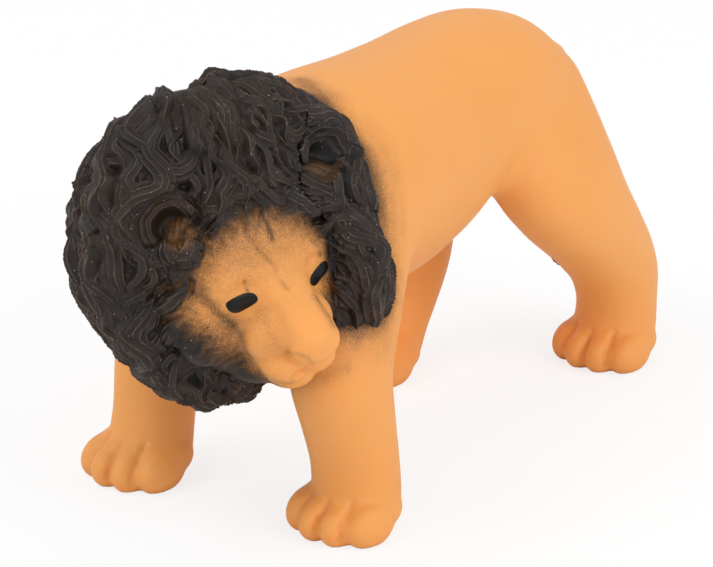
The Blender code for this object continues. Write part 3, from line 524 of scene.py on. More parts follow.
# Lines of the face by their places in the photograph: width, depth, both sides
FACE_LINES = [
    ([(244, 231), (260, 252), (273, 265), (287, 289)], 1.8, 0.8, False),
    ([(185, 284), (210, 305), (230, 325)], 3.0, 1.2, True),
    ([(222, 300), (236, 290), (248, 286), (260, 292)], 1.6, 0.6, True),
    ([(220, 311), (235, 317), (252, 315), (262, 303)], 1.5, 0.6, True),
    ([(244, 280), (249, 291)], 1.0, 0.8, True),
    ([(263, 292), (278, 318), (288, 350)], 2.2, 0.5, True),
    ([(286, 381), (299, 373), (311, 365)], 1.0, 1.8, False),
    ([(236, 350), (245, 359), (256, 372), (270, 386)], 1.4, 0.9, True),
]


def sculpt_face(skin):
    """Creases of brow, eyes, nose, mouth and cheeks."""
    tree = skin.tree()
    for places, width, depth, both in FACE_LINES:
        path = seen_path(tree, places)
        skin.press(path, width, depth)
        if both:
            skin.press(mirrored(path), width, depth)
    skin.write()
    skin.relax(2)
    skin.write()


# Mane

# Forms under the locks: place and half widths; the mane's from the point between the eyes
MANE_BALLS = [
    ((-34, 0, 5.7), (43, 24.5, 53)),
    ((-49, 0, 4), (38, 32, 46)),
    ((-40, 14, 20), (34, 26, 38)),
    ((-36, -8, 11.5), (37, 24, 50)),
]
RUFF_BALLS = [
    ((5.2, -68, 98), (35.7, 30, 46.2)),
    ((4, -71, 86), (47.9, 25, 36.7)),
]
MANE_HUB = (-45, 0, 8)
CROWN_AXIS = (0, 0.25, 1)

# Opening of the mane for the face: up, to the left, half width, half height; and how far back it counts
FACE_OPENING = (-2, -4.5, 28.5, 28)
FACE_BACK = -40

# Parting of mane and body: its lean, a point of it, and how far locks reach past it
NECK_LEAN = math.radians(24.5)
NECK_BACK, NECK_RISE = -59.5, 100
NECK_OVERLAP = 3

# Locks: how many over the mane and how many round the face
MAJOR_COUNT, MAJOR_HAIRLINE = 230, 22
MINOR_COUNT, MINOR_HAIRLINE = 860, 64
WISP_COUNT = 150
LOCK_STATIONS = 22
SHORTEST_SHARE = 0.45

# Locks keep clear of the face's left side, where the sine of the place round it is above this
CLEAR_SIDE = 0.45

# How deep the forms lie under the mane's outline, and the cubes in which its points are sorted
BEDDING = 2.5
LOCK_CELL = 6 * MM


def mane_forms(form):
    """Round forms on which the locks lie."""
    for (forward, left, up), (wide, long, high) in MANE_BALLS:
        face_ball(form, forward, left, up, wide - BEDDING, long - BEDDING, high - BEDDING)
    for centre, radii in RUFF_BALLS:
        ball(form, Matrix.Translation(Vector(centre) * MM), [radius - BEDDING for radius in radii])


def mane_tree():
    """Smooth form under the locks, for finding places on it."""
    form = bmesh.new()
    mane_forms(form)
    return Skin(fused(form, 3.0, 6)).tree()


def neck_reach(point):
    """How far a point lies on the body's side of the neck parting, in metres."""
    behind, above = point.y - NECK_BACK * MM, point.z - NECK_RISE * MM
    return behind * math.cos(NECK_LEAN) - above * math.sin(NECK_LEAN)


def face_ring(point):
    """Place of a point against the face's opening: below 1 inside it; and how far ahead it lies."""
    local = HEAD.inverted() @ point / MM
    rise, aside, half_wide, half_high = FACE_OPENING
    return math.hypot((local.x - aside) / half_wide, (local.z - rise) / half_high), -local.y


def head_places(points):
    """Many points by their places ahead, to the left and above the point between the eyes."""
    inverse = np.array(HEAD.inverted())
    local = (points @ inverse[:3, :3].T + inverse[:3, 3]) / MM
    return -local[:, 1], local[:, 0], local[:, 2]


def face_rings(points):
    """Places of many points against the face's opening."""
    ahead, left, up = head_places(points)
    rise, aside, half_wide, half_high = FACE_OPENING
    return np.hypot((left - aside) / half_wide, (up - rise) / half_high), ahead


def hair_flow(point, normal):
    """Direction of the hair: down from the crown, round face and ears, along the edge at the body."""
    turn = HEAD.to_3x3()
    hub = face_point(*MANE_HUB)
    crown = turn @ Vector(CROWN_AXIS).normalized()
    out = point - hub
    away = out - crown * out.dot(crown)
    flow = away.normalized() * max(0.0, out.normalized().dot(crown) + 0.25) - crown * 0.9
    ring, ahead = face_ring(point)
    if ahead > -50:
        front = turn @ Vector((0, -1, 0))
        aside = point - face_point(0, FACE_OPENING[1], FACE_OPENING[0])
        aside -= front * aside.dot(front)
        flow += aside.normalized() * (1.1 * math.exp(-max(0.0, ring - 1) * 3.2))
    for side in EARS:
        place = ear_place(side)
        arm = place.inverted() @ point / MM
        reach = math.hypot(arm.x, arm.z)
        round_ear = 2.2 * math.exp(-((reach - 10) / 5) ** 2) * (arm.x * side > -5)
        around = Vector((side * arm.z, 0, -side * arm.x)) / max(reach, 1)
        flow += place.to_3x3() @ around * round_ear
    towards_body = Vector((0, math.cos(NECK_LEAN), -math.sin(NECK_LEAN)))
    edge = 1 / (1 + math.exp((-neck_reach(point) / MM - 10) / 3))
    flow -= towards_body * (flow.dot(towards_body) * edge)
    flow -= normal * flow.dot(normal)
    return flow.normalized()


def trace_lock(tree, start, length, wave, pitch, phase, hook):
    """Wavy path over the mane's base, with its outward directions."""
    point, normal, _, _ = tree.find_nearest(start)
    steps = LOCK_STATIONS - 1
    stride = length / steps
    plain = [(point, normal)]
    for _ in range(steps):
        point, normal, _, _ = tree.find_nearest(point + hair_flow(point, normal) * stride)
        ring, ahead = face_ring(point)
        if (ring < 0.8 and ahead > FACE_BACK) or neck_reach(point) > NECK_OVERLAP * MM:
            break
        plain.append((point, normal))
    if len(plain) < LOCK_STATIONS * SHORTEST_SHARE:
        return None
    path, outs = [], []
    for k in range(LOCK_STATIONS):
        share = k / steps * (len(plain) - 1)
        i = min(int(share), len(plain) - 2)
        spot = plain[i][0].lerp(plain[i + 1][0], share - i)
        out = plain[i][1].lerp(plain[i + 1][1], share - i).normalized()
        along = (plain[i + 1][0] - plain[i][0]).normalized()
        run = share * stride
        sway = math.sin(math.tau * run / pitch + phase) * wave + hook * (k / steps) ** 3
        spot, out, _, _ = tree.find_nearest(spot + along.cross(out) * sway)
        path.append(spot)
        outs.append(out)
    return np.array(path), np.array(outs)


def uneven(serial, low, spread, row):
    """A share that varies from lock to lock, the same way each time."""
    return low + spread * noise.cell(Vector((serial * math.sqrt(3), row * math.sqrt(5), row)))


def opening_point(ahead, spread, around):
    """Point round the face's opening, at a share of its size."""
    rise, aside, half_wide, half_high = FACE_OPENING
    return face_point(ahead, aside + half_wide * spread * math.sin(around),
                      rise + half_high * spread * math.cos(around))


def lock_starts(tree, count, hairline):
    """Where locks start: spread evenly over the mane, and one ring round the face."""
    hub = face_point(*MANE_HUB)
    starts = []
    for k in range(count):
        rise = 1 - 2 * (k + 0.5) / count
        around = k * math.pi * (3 - math.sqrt(5))
        flat = math.sqrt(1 - rise * rise)
        ray = HEAD.to_3x3() @ Vector((flat * math.cos(around), flat * math.sin(around), rise))
        hit = tree.ray_cast(hub, ray)[0]
        if hit is None:
            continue
        ring, ahead = face_ring(hit)
        if (ring < 1.0 and ahead > FACE_BACK) or neck_reach(hit) > NECK_OVERLAP * MM:
            continue
        starts.append((hit, 1.0))
    ahead = HEAD.to_3x3() @ Vector((0, -1, 0))
    for k in range(hairline):
        around = math.tau * k / hairline
        spread = uneven(k, 0.88, 0.2, 12) + (0.14 if math.sin(around) > CLEAR_SIDE else 0)
        hit = tree.ray_cast(opening_point(50, spread, around), -ahead)[0]
        if hit is not None:
            starts.append((hit, 0.7))
    return starts


def add_lock(locks, tree, start, course, width, height, seed):
    """Trace a lock from its start and keep it: length, wave, pitch, phase and hook, in millimetres."""
    length, wave, pitch, phase, hook = course
    traced = trace_lock(tree, start, length * MM, wave * MM, pitch * MM, phase, hook * MM)
    if traced:
        locks.append((*traced, width, height, seed))


def all_locks(tree):
    """Broad locks first, then the narrow ones between them, then wisps round the face."""
    locks = []
    for serial, (start, size) in enumerate(lock_starts(tree, MAJOR_COUNT, MAJOR_HAIRLINE)):
        phase = math.tau * 1.5 * noise.noise(start / (36 * MM))
        course = (38 * size * uneven(serial, 0.85, 0.35, 1), 2.6 * size * uneven(serial, 0.75, 0.5, 2),
                  19, phase, 0)
        add_lock(locks, tree, start, course, 9.5 * size * uneven(serial, 0.85, 0.3, 3),
                 4.4 * size * uneven(serial, 0.8, 0.45, 4), serial * 0.37)
    for serial, (start, size) in enumerate(lock_starts(tree, MINOR_COUNT, MINOR_HAIRLINE)):
        phase = math.tau * (1.5 * noise.noise(start / (30 * MM)) + 0.3 * uneven(serial, 0, 1, 7))
        side = 1 if serial % 2 else -1
        course = (27 * size * uneven(serial, 0.7, 0.6, 5), 1.9 * size * uneven(serial, 0.6, 0.8, 6),
                  13, phase, side * 3.5 * uneven(serial, 0, 1, 8))
        add_lock(locks, tree, start, course, 5.2 * size * uneven(serial, 0.75, 0.5, 9),
                 3.7 * size * uneven(serial, 0.75, 0.6, 10), serial * 0.61)
    for serial in range(WISP_COUNT):
        around = math.tau * (serial + 0.6 * uneven(serial, -0.5, 1, 13)) / WISP_COUNT
        spread = uneven(serial, 0.82, 0.2, 14) + (0.18 if math.sin(around) > CLEAR_SIDE else 0)
        course = (13 * uneven(serial, 0.7, 0.6, 15), 0.8, 8, math.tau * uneven(serial, 0, 1, 16), 0)
        add_lock(locks, tree, opening_point(0, spread, around), course,
                 2.6 * uneven(serial, 0.75, 0.5, 17), 1.5, serial * 0.43)
    return locks


def cusps(lines):
    """Profile of strands side by side: sharp ridges with round hollows."""
    return 1 - np.abs(np.sin(math.pi * lines))


def ridge_ear(skin, side, best, strand, crest_highlight):
    """Fine hair ridges that follow an ear's rim."""
    outward, inward, rise = ear_places(skin.points, side)
    radius = np.hypot(outward, rise / 1.06)
    angle = np.arctan2(outward, rise)
    beside = smooth_step(-1.6, -1.0, angle) * smooth_step(2.5, 2.0, angle)
    # Near the ear's middle the locks and the crest weight are cleared, so the ear hollow takes the furrow
    # tone: painted shade
    clear = smooth_step(0, 2.2, ear_distance(skin.points, side) - 4.8 - 3.8 * beside)
    best *= clear
    crest_highlight *= clear
    zone = smooth_step(5.4, 6.4, radius) * smooth_step(11.0, 9.6, radius) * (np.abs(inward) < 7)
    zone *= smooth_step(-1.5, -0.9, angle) * smooth_step(2.4, 1.9, angle)
    lines = radius / 1.25 + 0.22 * np.sin(angle * 4 + side) + 0.1 * np.sin(angle * 9)
    index = zone > 0.05
    strand[index] = lines[index]
    crest_highlight[index] = 0.75 * zone[index]
    best[index] += (zone * 0.6 * (cusps(lines) - 0.35))[index]


def near_cells(points):
    """Points sorted into cubes, for finding those near a path."""
    keys = np.floor(points / LOCK_CELL).astype(np.int64)
    order = np.lexsort(keys.T)
    sorted_keys = keys[order]
    breaks = np.flatnonzero(np.any(np.diff(sorted_keys, axis=0), axis=1)) + 1
    starts = np.concatenate([[0], breaks])
    ends = np.concatenate([breaks, [len(order)]])
    return {tuple(sorted_keys[a]): order[a:b] for a, b in zip(starts, ends)}


def lay_locks(skin, locks):
    """Raise a skin by the highest of the locks over each point; returns finish values."""
    cells = near_cells(skin.points)
    count = len(skin.points)
    best = np.zeros(count)
    strand = np.zeros(count)
    crest_highlight = np.zeros(count)
    for path, outs, width, height, seed in locks:
        keys = set()
        for base in {tuple(key) for key in np.floor(path / LOCK_CELL).astype(np.int64)}:
            keys.update((base[0] + i, base[1] + j, base[2] + k)
                        for i in (-1, 0, 1) for j in (-1, 0, 1) for k in (-1, 0, 1))
        found = [cells[key] for key in keys if key in cells]
        if not found:
            continue
        index = np.concatenate(found)
        spots = skin.points[index]
        start, step = path[:-1], np.diff(path, axis=0)
        size = np.maximum((step * step).sum(1), 1e-12)
        t = np.clip(((spots[:, None] - start) * step).sum(2) / size, 0, 1)
        gap = spots[:, None] - (start + t[..., None] * step)
        pick = (gap * gap).sum(2).argmin(1)
        rows = np.arange(len(index))
        gap, t = gap[rows, pick], t[rows, pick]
        share = (pick + t) / len(step)
        along = step[pick] / np.sqrt(size[pick])[:, None]
        out = outs[pick] * (1 - t)[:, None] + outs[pick + 1] * t[:, None]
        side = np.cross(along, out)
        side /= np.linalg.norm(side, axis=1)[:, None]
        taper = np.maximum(0.06, np.sin(math.pi * (0.06 + 0.94 * share))) ** 0.7
        x = (gap * side).sum(1) / (width / 2 * MM * taper)
        fits = ((np.abs(x) < 1) & (np.abs((gap * out).sum(1)) < 6 * MM)
                & (np.abs((gap * along).sum(1)) < 0.8 * MM) & ((skin.normals[index] * out).sum(1) > 0.1))
        index, x, share, taper = index[fits], x[fits], share[fits], taper[fits]
        crown = (1 - np.abs(x) ** 1.5) ** 0.667
        lines = x * width / 3.6 + 0.35 * np.sin(seed + 5 * share) + seed
        edge = np.clip(3 * (1 - np.abs(x)), 0, 1)
        crimp = 1 + 0.16 * np.sin(seed * 3 + 13 * share)
        rise = (height * crimp * crown + 0.7 * share + 0.8 * (cusps(lines) - 0.3) * edge) * taper
        higher = rise > best[index]
        index = index[higher]
        best[index] = rise[higher]
        strand[index] = lines[higher]
        # Crest weight, highest on a lock's crown: where the painted crest highlight and the lighter mane
        # tone go; at 0 the furrow's painted shade
        crest_highlight[index] = (edge * taper * crown ** 0.5)[higher]
    for side in EARS:
        ridge_ear(skin, side, best, strand, crest_highlight)
    skin.points += skin.normals * (best * MM)[:, None]
    skin.write()
    return strand, crest_highlight, best


# Pieces

def add_piece(name, mesh, finish, replaced):
    """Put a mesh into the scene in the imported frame, on the figure's one body."""
    mesh.transform(Matrix.Translation(FRAME_SHIFT))
    mesh.materials.clear()
    mesh.materials.append(finish)
    mesh.polygons.foreach_set("use_smooth", [True] * len(mesh.polygons))
    piece = bpy.data.objects.new(name, mesh)
    bpy.context.scene.collection.objects.link(piece)
    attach(piece, "root")
    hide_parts(replaced)
    return piece


def set_value(mesh, name, values):
    """Give each point of a mesh a value that its finish reads."""
    attribute = mesh.attributes.new(name, "FLOAT", "POINT")
    attribute.data.foreach_set("value", np.ascontiguousarray(values, dtype=np.float32))


def spray_near(points, path, width, strength):
    """How much of the sprayed line along a path falls on each point."""
    distance, _ = path_reach(points, path)
    return strength * np.exp(-(distance / (width * MM)) ** 2)


def layered(*layers):
    """Cover of several thin coats of spray."""
    bare = 1.0
    for layer in layers:
        bare = bare * (1 - np.clip(layer, 0, 1))
    return 1 - bare


def smooth_step(low, high, values):
    """Soft rise from 0 at one value to 1 at another."""
    t = np.clip((values - low) / (high - low), 0, 1)
    return t * t * (3 - 2 * t)


# Outlines of the painted eyes in the photograph, and the paint's height over the skin
PAINT_THICKNESS, PAINT_EDGE = 0.45, 0.05
RIGHT_EYE = [(225.6, 304.5), (230.5, 299.8), (243.5, 293.4), (252.9, 293.1), (257.6, 297.6), (256, 302.6),
             (245, 309.4), (237, 313), (229.5, 311.4)]
LEFT_EYE = [(325.4, 260.8), (327.8, 264.5), (327.5, 270.5), (320.3, 279.2), (315.8, 285.4), (311.2, 284.8),
            (310, 279), (313, 272.4), (320, 263.8)]


def eye_patch(tree, places):
    """Thin patch of paint on a surface, inside an outline seen in the photograph."""
    centre = [sum(p[i] for p in places) / len(places) for i in (0, 1)]
    count, rings = 28, 5
    outline = []
    for k in range(count):
        t = k / count * len(places)
        a, b = int(t) % len(places), (int(t) + 1) % len(places)
        before, after = (a - 1) % len(places), (b + 1) % len(places)
        f = t - int(t)
        point = []
        for i in (0, 1):
            p0, p1, p2, p3 = places[before][i], places[a][i], places[b][i], places[after][i]
            point.append(0.5 * (2 * p1 + (p2 - p0) * f + (2 * p0 - 5 * p1 + 4 * p2 - p3) * f * f
                                + (3 * p1 - p0 - 3 * p2 + p3) * f ** 3))
        outline.append(point)
    verts, faces = [], []
    for ring in range(rings + 1):
        share = ring / rings
        for x, y in outline:
            px, py = centre[0] + (x - centre[0]) * share, centre[1] + (y - centre[1]) * share
            spot = seen(tree, px, py)
            _, normal, _, _ = tree.find_nearest(spot)
            verts.append(spot + normal * ((PAINT_THICKNESS if ring < rings else PAINT_EDGE) * MM))
    for ring in range(rings):
        for k in range(count):
            n = (k + 1) % count
            inner, outer = ring * count, (ring + 1) * count
            faces.append((inner + k, inner + n, outer + n, outer + k))
    mesh = bpy.data.meshes.new("eye")
    mesh.from_pydata([tuple(v) for v in verts], [], faces)
    form = bmesh.new()
    form.from_mesh(mesh)
    bmesh.ops.remove_doubles(form, verts=form.verts, dist=0.01 * MM)
    bmesh.ops.recalc_face_normals(form, faces=form.faces)
    form.to_mesh(mesh)
    form.free()
    return mesh


# Finishes

def tint(red, green, blue):
    """Linear colour of a tone read on a scale of 255."""
    return tuple(((c / 255 + 0.055) / 1.055) ** 2.4 for c in (red, green, blue))


def wire(tree, made, inputs):
    """Link or set inputs of a node, by name or by number."""
    for name, value in (inputs or {}).items():
        if isinstance(value, bpy.types.NodeSocket):
            tree.links.new(value, made.inputs[name])
        else:
            made.inputs[name].default_value = value
    return made


def node(tree, kind, inputs=None, **settings):
    """New shader node with its settings and inputs."""
    made = tree.nodes.new("ShaderNode" + kind)
    for name, value in settings.items():
        setattr(made, name, value)
    return wire(tree, made, inputs)


def maths(tree, operation, *values, clamp=False):
    """Result of one sum."""
    return node(tree, "Math", dict(enumerate(values)), operation=operation, use_clamp=clamp).outputs[0]


def cloud(tree, scale, detail, roughness=0.5, distortion=0.0):
    """Noise over the object's own coordinates."""
    place = node(tree, "TexCoord").outputs["Object"]
    return node(tree, "TexNoise", {"Vector": place, "Scale": scale, "Detail": detail, "Roughness": roughness,
                                   "Distortion": distortion}).outputs["Fac"]


def mix_colour(tree, factor, first, second):
    """Mix of two colours, each a socket or a tone."""
    tones = [value if isinstance(value, bpy.types.NodeSocket) else (*value[:3], 1.0)
             for value in (first, second)]
    return node(tree, "Mix", {0: factor, 6: tones[0], 7: tones[1]}, data_type="RGBA").outputs[2]


def airbrush(group, given):
    """Sprayed paint: a mask broken up into mist and fine droplets."""
    mask = given["Mask"]
    patches = maths(group, "MULTIPLY", cloud(group, 260.0, 4.0, 0.6), 0.35)
    drops = cloud(group, given["Droplets"], 2.0, 0.7)
    level = maths(group, "ADD", maths(group, "ADD", patches, drops), -0.675)
    scaled = maths(group, "MULTIPLY", level, given["Mist"])
    edge = maths(group, "MULTIPLY", maths(group, "ADD", mask, -1.0), mask)
    broken = maths(group, "MULTIPLY", scaled, maths(group, "MULTIPLY", edge, -16.0))
    return {"Cover": maths(group, "ADD", mask, broken, clamp=True)}


def vinyl_grain(group, given):
    """Moulded vinyl: faint mottle of its tone and the fine grain of the mould."""
    wobble = maths(group, "MULTIPLY", cloud(group, 160.0, 2.0), 1.5)
    grain = cloud(group, given["Grain"], 3.0, 0.6)
    return {"Mottle": cloud(group, 28.0, 3.0), "Height": maths(group, "ADD", grain, wobble)}


def dust_specks(group, given):
    """Tiny pale specks of dust that lie here and there."""
    place = node(group, "TexCoord").outputs["Object"]
    cells = node(group, "TexVoronoi", {"Vector": place, "Scale": given["Density"]}).outputs
    near = maths(group, "LESS_THAN", cells["Distance"], given["Size"])
    parts = node(group, "SeparateColor", {"Color": cells["Color"]}).outputs
    rare = maths(group, "GREATER_THAN", parts["Red"], 0.93)
    return {"Mask": maths(group, "MULTIPLY", near, rare)}


def strand_lines(group, given):
    """Painted highlight lines on the crests of sculpted strands, partly spray rubbed thin and broken up by a
    noise, and their relief, from the place across them that the skin holds.
    """
    wave = maths(group, "SINE", maths(group, "MULTIPLY", given["Strand"], math.pi))
    cusp = maths(group, "SUBTRACT", 1.0, maths(group, "ABSOLUTE", wave))
    wear = node(group, "MapRange", {"Value": cloud(group, 150.0, 4.0, 0.7), "From Min": 0.3,
                                    "From Max": 0.62}).outputs[0]
    worn_highlight = maths(group, "MULTIPLY", maths(group, "POWER", cusp, 13.0), wear)
    return {"Line": maths(group, "MULTIPLY", worn_highlight, given["Crest"], clamp=True),
            "Height": maths(group, "MULTIPLY", cusp, given["Crest"])}


# Node groups with what they take
GROUPS = {
    "airbrush": (airbrush, {"Mask": 0.5, "Mist": 0.4, "Droplets": 2900.0}),
    "vinyl_grain": (vinyl_grain, {"Grain": 1500.0}),
    "dust_specks": (dust_specks, {"Density": 900.0, "Size": 0.12}),
    "strand_lines": (strand_lines, {"Strand": 0.0, "Crest": 0.0}),
}


def use_group(tree, name, inputs=None):
    """Outputs of a node group, which is built the first time it is used."""
    if name not in bpy.data.node_groups:
        build, takes = GROUPS[name]
        group = bpy.data.node_groups.new(name, "ShaderNodeTree")
        for label, value in takes.items():
            socket = group.interface.new_socket(name=label, in_out="INPUT", socket_type="NodeSocketFloat")
            socket.default_value = value
        given = group.nodes.new("NodeGroupInput").outputs
        results = build(group, given)
        for label in results:
            group.interface.new_socket(name=label, in_out="OUTPUT", socket_type="NodeSocketFloat")
        wire(group, group.nodes.new("NodeGroupOutput"), results)
    return wire(tree, node(tree, "Group", node_tree=bpy.data.node_groups[name]), inputs).outputs


def new_finish(name):
    """New material with its node tree and shader."""
    made = bpy.data.materials.new(name)
    made.use_nodes = True
    return made, made.node_tree, made.node_tree.nodes["Principled BSDF"]


def bumped(tree, height, strength, distance):
    """Fine relief for a shader, its distance in metres."""
    bump = node(tree, "Bump", {"Strength": strength, "Distance": distance, "Height": height})
    return bump.outputs["Normal"]


def vinyl_finish(colours, sprayed=True):
    """Orange soft vinyl, with the mane's colour sprayed over it where the skin says so, painted highlights
    on the strand crests and painted shade in the furrows.
    """
    name = "sprayed_orange_vinyl" if sprayed else "orange_vinyl_skin"
    if name in bpy.data.materials:
        return bpy.data.materials[name]
    made, tree, shader = new_finish(name)
    grain = use_group(tree, "vinyl_grain")
    base = mix_colour(tree, grain["Mottle"], colours.vinyl, colours.vinyl_deep)
    height = grain["Height"]
    rough = 0.48
    if sprayed:
        spray, strand, crest_highlight = (node(tree, "Attribute", attribute_name=label).outputs["Fac"]
                                for label in ("spray", "strand", "crest_highlight"))
        cover = use_group(tree, "airbrush", {"Mask": spray})["Cover"]
        lines = use_group(tree, "strand_lines", {"Strand": strand, "Crest": crest_highlight})
        raised = mix_colour(tree, grain["Mottle"], colours.mane, colours.mane_warm)
        # Where the crest weight falls to 0, between and beside the locks, the coat takes the furrow tone:
        # painted shade
        coat = mix_colour(tree, crest_highlight, colours.painted_furrow_shade, raised)
        # Pale lines on the strand crests: painted highlight, partly spray rubbed thin
        coat = mix_colour(tree, lines["Line"], coat, colours.crest_highlight)
        thin = mix_colour(tree, cover, colours.spray, coat)
        base = mix_colour(tree, cover, base, thin)
        base = mix_colour(tree, use_group(tree, "dust_specks")["Mask"], base, colours.dust)
        height = maths(tree, "ADD", maths(tree, "MULTIPLY", lines["Height"], 2.5), height)
        rough = node(tree, "MapRange", {"Value": cover, "To Min": rough, "To Max": 0.5}).outputs[0]
    wire(tree, shader, {
        "Base Color": base,
        "Normal": bumped(tree, height, 0.3, 0.0003),
        "Roughness": rough,
        "Specular IOR Level": 0.32,
        "Subsurface Weight": 0.25,
        "Subsurface Radius": (1.0, 0.4, 0.12),
        "Subsurface Scale": 0.003,
    })
    return made


def eye_finish(colours):
    """Black enamel of the eyes."""
    made, tree, shader = new_finish("black_eye_enamel")
    grain = use_group(tree, "vinyl_grain", {"Grain": 3000.0})
    wire(tree, shader, {
        "Base Color": mix_colour(tree, grain["Mottle"], colours.eye, colours.eye_deep),
        "Normal": bumped(tree, grain["Height"], 0.15, 0.0002),
        "Roughness": 0.36,
        "Specular IOR Level": 0.25,
    })
    return made


def fibre_finish(colours):
    """Matted white fibre of the filling."""
    made, tree, shader = new_finish("matted_white_fibre")
    tangle = cloud(tree, 500.0, 8.0, 0.75, 1.5)
    wire(tree, shader, {
        # Darker where the tangle noise sinks the bump: painted shade in the fibre's hollows
        "Base Color": mix_colour(tree, tangle, colours.fibre_shade, colours.fibre),
        "Normal": bumped(tree, tangle, 0.8, 0.001),
        "Roughness": 0.95,
    })
    return made


def lit_apart(tree, camera, first, second, end):
    """Show the second shader to the camera, by that share, and the first to everything else."""
    mix = node(tree, "MixShader", {0: camera, 1: first.outputs[0], 2: second.outputs[0]})
    tree.links.new(mix.outputs[0], tree.nodes[end].inputs["Surface"])


def floor_finish():
    """Floor that looks white and keeps the figure's shadow."""
    made, tree, shader = new_finish("pale_floor")
    camera = node(tree, "LightPath").outputs["Is Camera Ray"]
    tone = mix_colour(tree, cloud(tree, 3.0, 2.0), (0.88, 0.88, 0.88), (0.90, 0.90, 0.90))
    wire(tree, shader, {
        "Base Color": mix_colour(tree, camera, tone, (1.0, 1.0, 1.0)),
        "Roughness": 0.9,
        "Specular IOR Level": 0.1,
    })
    glow = node(tree, "Emission", {"Color": WHITE, "Strength": 1.0})
    lit_apart(tree, maths(tree, "MULTIPLY", camera, 0.78), shader, glow, "Material Output")
    return made


# Settings

def colour(name, description, tone):
    """Setting for one tone, read on a scale of 255."""
    return FloatVectorProperty(name=name, description=description, subtype="COLOR", size=3, min=0, max=1,
                               default=tint(*tone))


class LionColours(bpy.types.PropertyGroup):
    """Tones of the figure's finishes."""

    vinyl: colour("Vinyl", "Orange of the bare vinyl", (244, 170, 94))
    vinyl_deep: colour("Deep vinyl", "Deeper tone of the vinyl's mottle", (238, 160, 84))
    spray: colour("Spray", "Black-brown sprayed over the vinyl", (52, 40, 32))
    mane: colour("Mane", "Sprayed mane", (27, 22, 19))
    mane_warm: colour("Warm mane", "Warmer tone of the mane's mottle", (54, 40, 31))
    # Furrow tone: painted shade in the hollows between the mane's locks
    painted_furrow_shade: colour("Furrow", "Furrows between the mane's locks", (9, 7, 6))
    # Crest tone: painted highlight on the strand crests, partly spray rubbed thin
    crest_highlight: colour("Crest", "Strand crests where the spray is rubbed thin", (140, 128, 118))
    dust: colour("Dust", "Specks of dust", (215, 205, 195))
    eye: colour("Eye", "Enamel of the eyes", (9, 9, 10))
    eye_deep: colour("Deep eye", "Deeper tone of the enamel's mottle", (14, 13, 13))
    fibre: colour("Fibre", "Filling fibre", (236, 232, 224))
    # Fibre shade: painted shade in the hollows of the fibre's relief
    fibre_shade: colour("Fibre shade", "Hollows of the filling fibre", (196, 190, 180))


class LionSizes(bpy.types.PropertyGroup):
    """Size of the stage."""

    floor_width: FloatProperty(name="Floor width", description="Width of the floor", default=8.0, min=1,
                               max=40, unit="LENGTH")


# Operators

class LION_OT_body(bpy.types.Operator):
    """Model the trunk and legs in orange vinyl"""

    bl_idname = "lion.body"
    bl_label = "Body"

    def execute(self, context):
        mesh = body_surface()
        set_value(mesh, "spray", body_spray(Skin(mesh)))
        add_piece("body_vinyl", mesh, vinyl_finish(context.scene.lion_colours), "body_skin")
        return {"FINISHED"}


# Sprayed lines on the face by their places in the photograph: width and strength. Lines that follow pressed
# creases darken them: painted shade.
SPRAY_LINES = [
    ([(257, 198), (262, 212), (268, 226), (272, 238)], 1.2, 0.68),
    ([(247, 205), (252, 216)], 1.0, 0.4),
    ([(283, 200), (286, 212)], 1.0, 0.35),
    # Along the crease from brow to nose: painted shade
    ([(244, 231), (258, 250), (272, 263), (287, 289)], 0.8, 0.3),
    # Streak under the eye and down the cheek fold: airbrushed streak, and painted shade along the pressed
    # crease and fold
    ([(188, 286), (210, 304), (233, 325)], 2.3, 0.6),
    ([(233, 325), (243, 340), (250, 356)], 1.6, 0.4),
    ([(262, 316), (272, 334), (276, 348)], 3.0, 0.16),
    # Along the crease at the eye's inner corner: painted shade
    ([(244, 281), (248, 291)], 0.6, 0.6),
    ([(166, 352), (190, 366), (225, 376), (258, 381)], 5.5, 0.8),
    ([(176, 340), (205, 350), (232, 362)], 5.0, 0.45),
    ([(316, 205), (324, 228), (330, 262)], 2.6, 0.75),
    ([(331, 262), (334, 290), (333, 318)], 2.2, 0.8),
    ([(316, 297), (324, 310), (333, 324)], 2.0, 0.45),
    ([(311, 240), (320, 255)], 0.8, 0.45),
    # Along the crease between nose and pad: painted shade
    ([(287, 352), (297, 353.5), (307, 357), (313, 363)], 0.9, 0.22),
    ([(262, 372), (275, 386), (292, 390)], 1.6, 0.35),
]

# Overspray on the body by its places in the photograph
BODY_SPRAY_LINES = [
    ([(302, 80), (312, 88), (324, 98)], 3.6, 0.5),
    ([(330, 118), (352, 150), (372, 190)], 4.5, 0.35),
    ([(380, 200), (386, 250), (378, 300)], 4.0, 0.3),
    ([(340, 312), (350, 328), (354, 340)], 3.0, 0.35),
    ([(300, 384), (322, 378), (345, 368)], 2.6, 0.22),
]


def body_spray(skin):
    """Overspray on the shoulders, thinning away from the mane's edge."""
    points = skin.points
    gap = np.full(len(points), FAR)
    for middle, radii in MANE_BALLS:
        gap = np.minimum(gap, ball_gap(points, on_head(*middle), radii))
    for centre, radii in RUFF_BALLS:
        gap = np.minimum(gap, ball_gap(points, Matrix.Translation(Vector(centre) * MM), radii))
    wander = np.array([noise.noise(Vector(point) * 70) for point in points])
    band = 0.93 * (1 - smooth_step(-1.0, 5.5, gap / MM + 1.6 * wander))
    mist = 0.2 * (1 - smooth_step(2, 14, gap / MM + 4 * wander))
    layers = [band, mist]
    tree = skin.tree()
    for places, width, strength in BODY_SPRAY_LINES:
        layers.append(spray_near(points, seen_path(tree, places), width, strength))
    return layered(*layers)


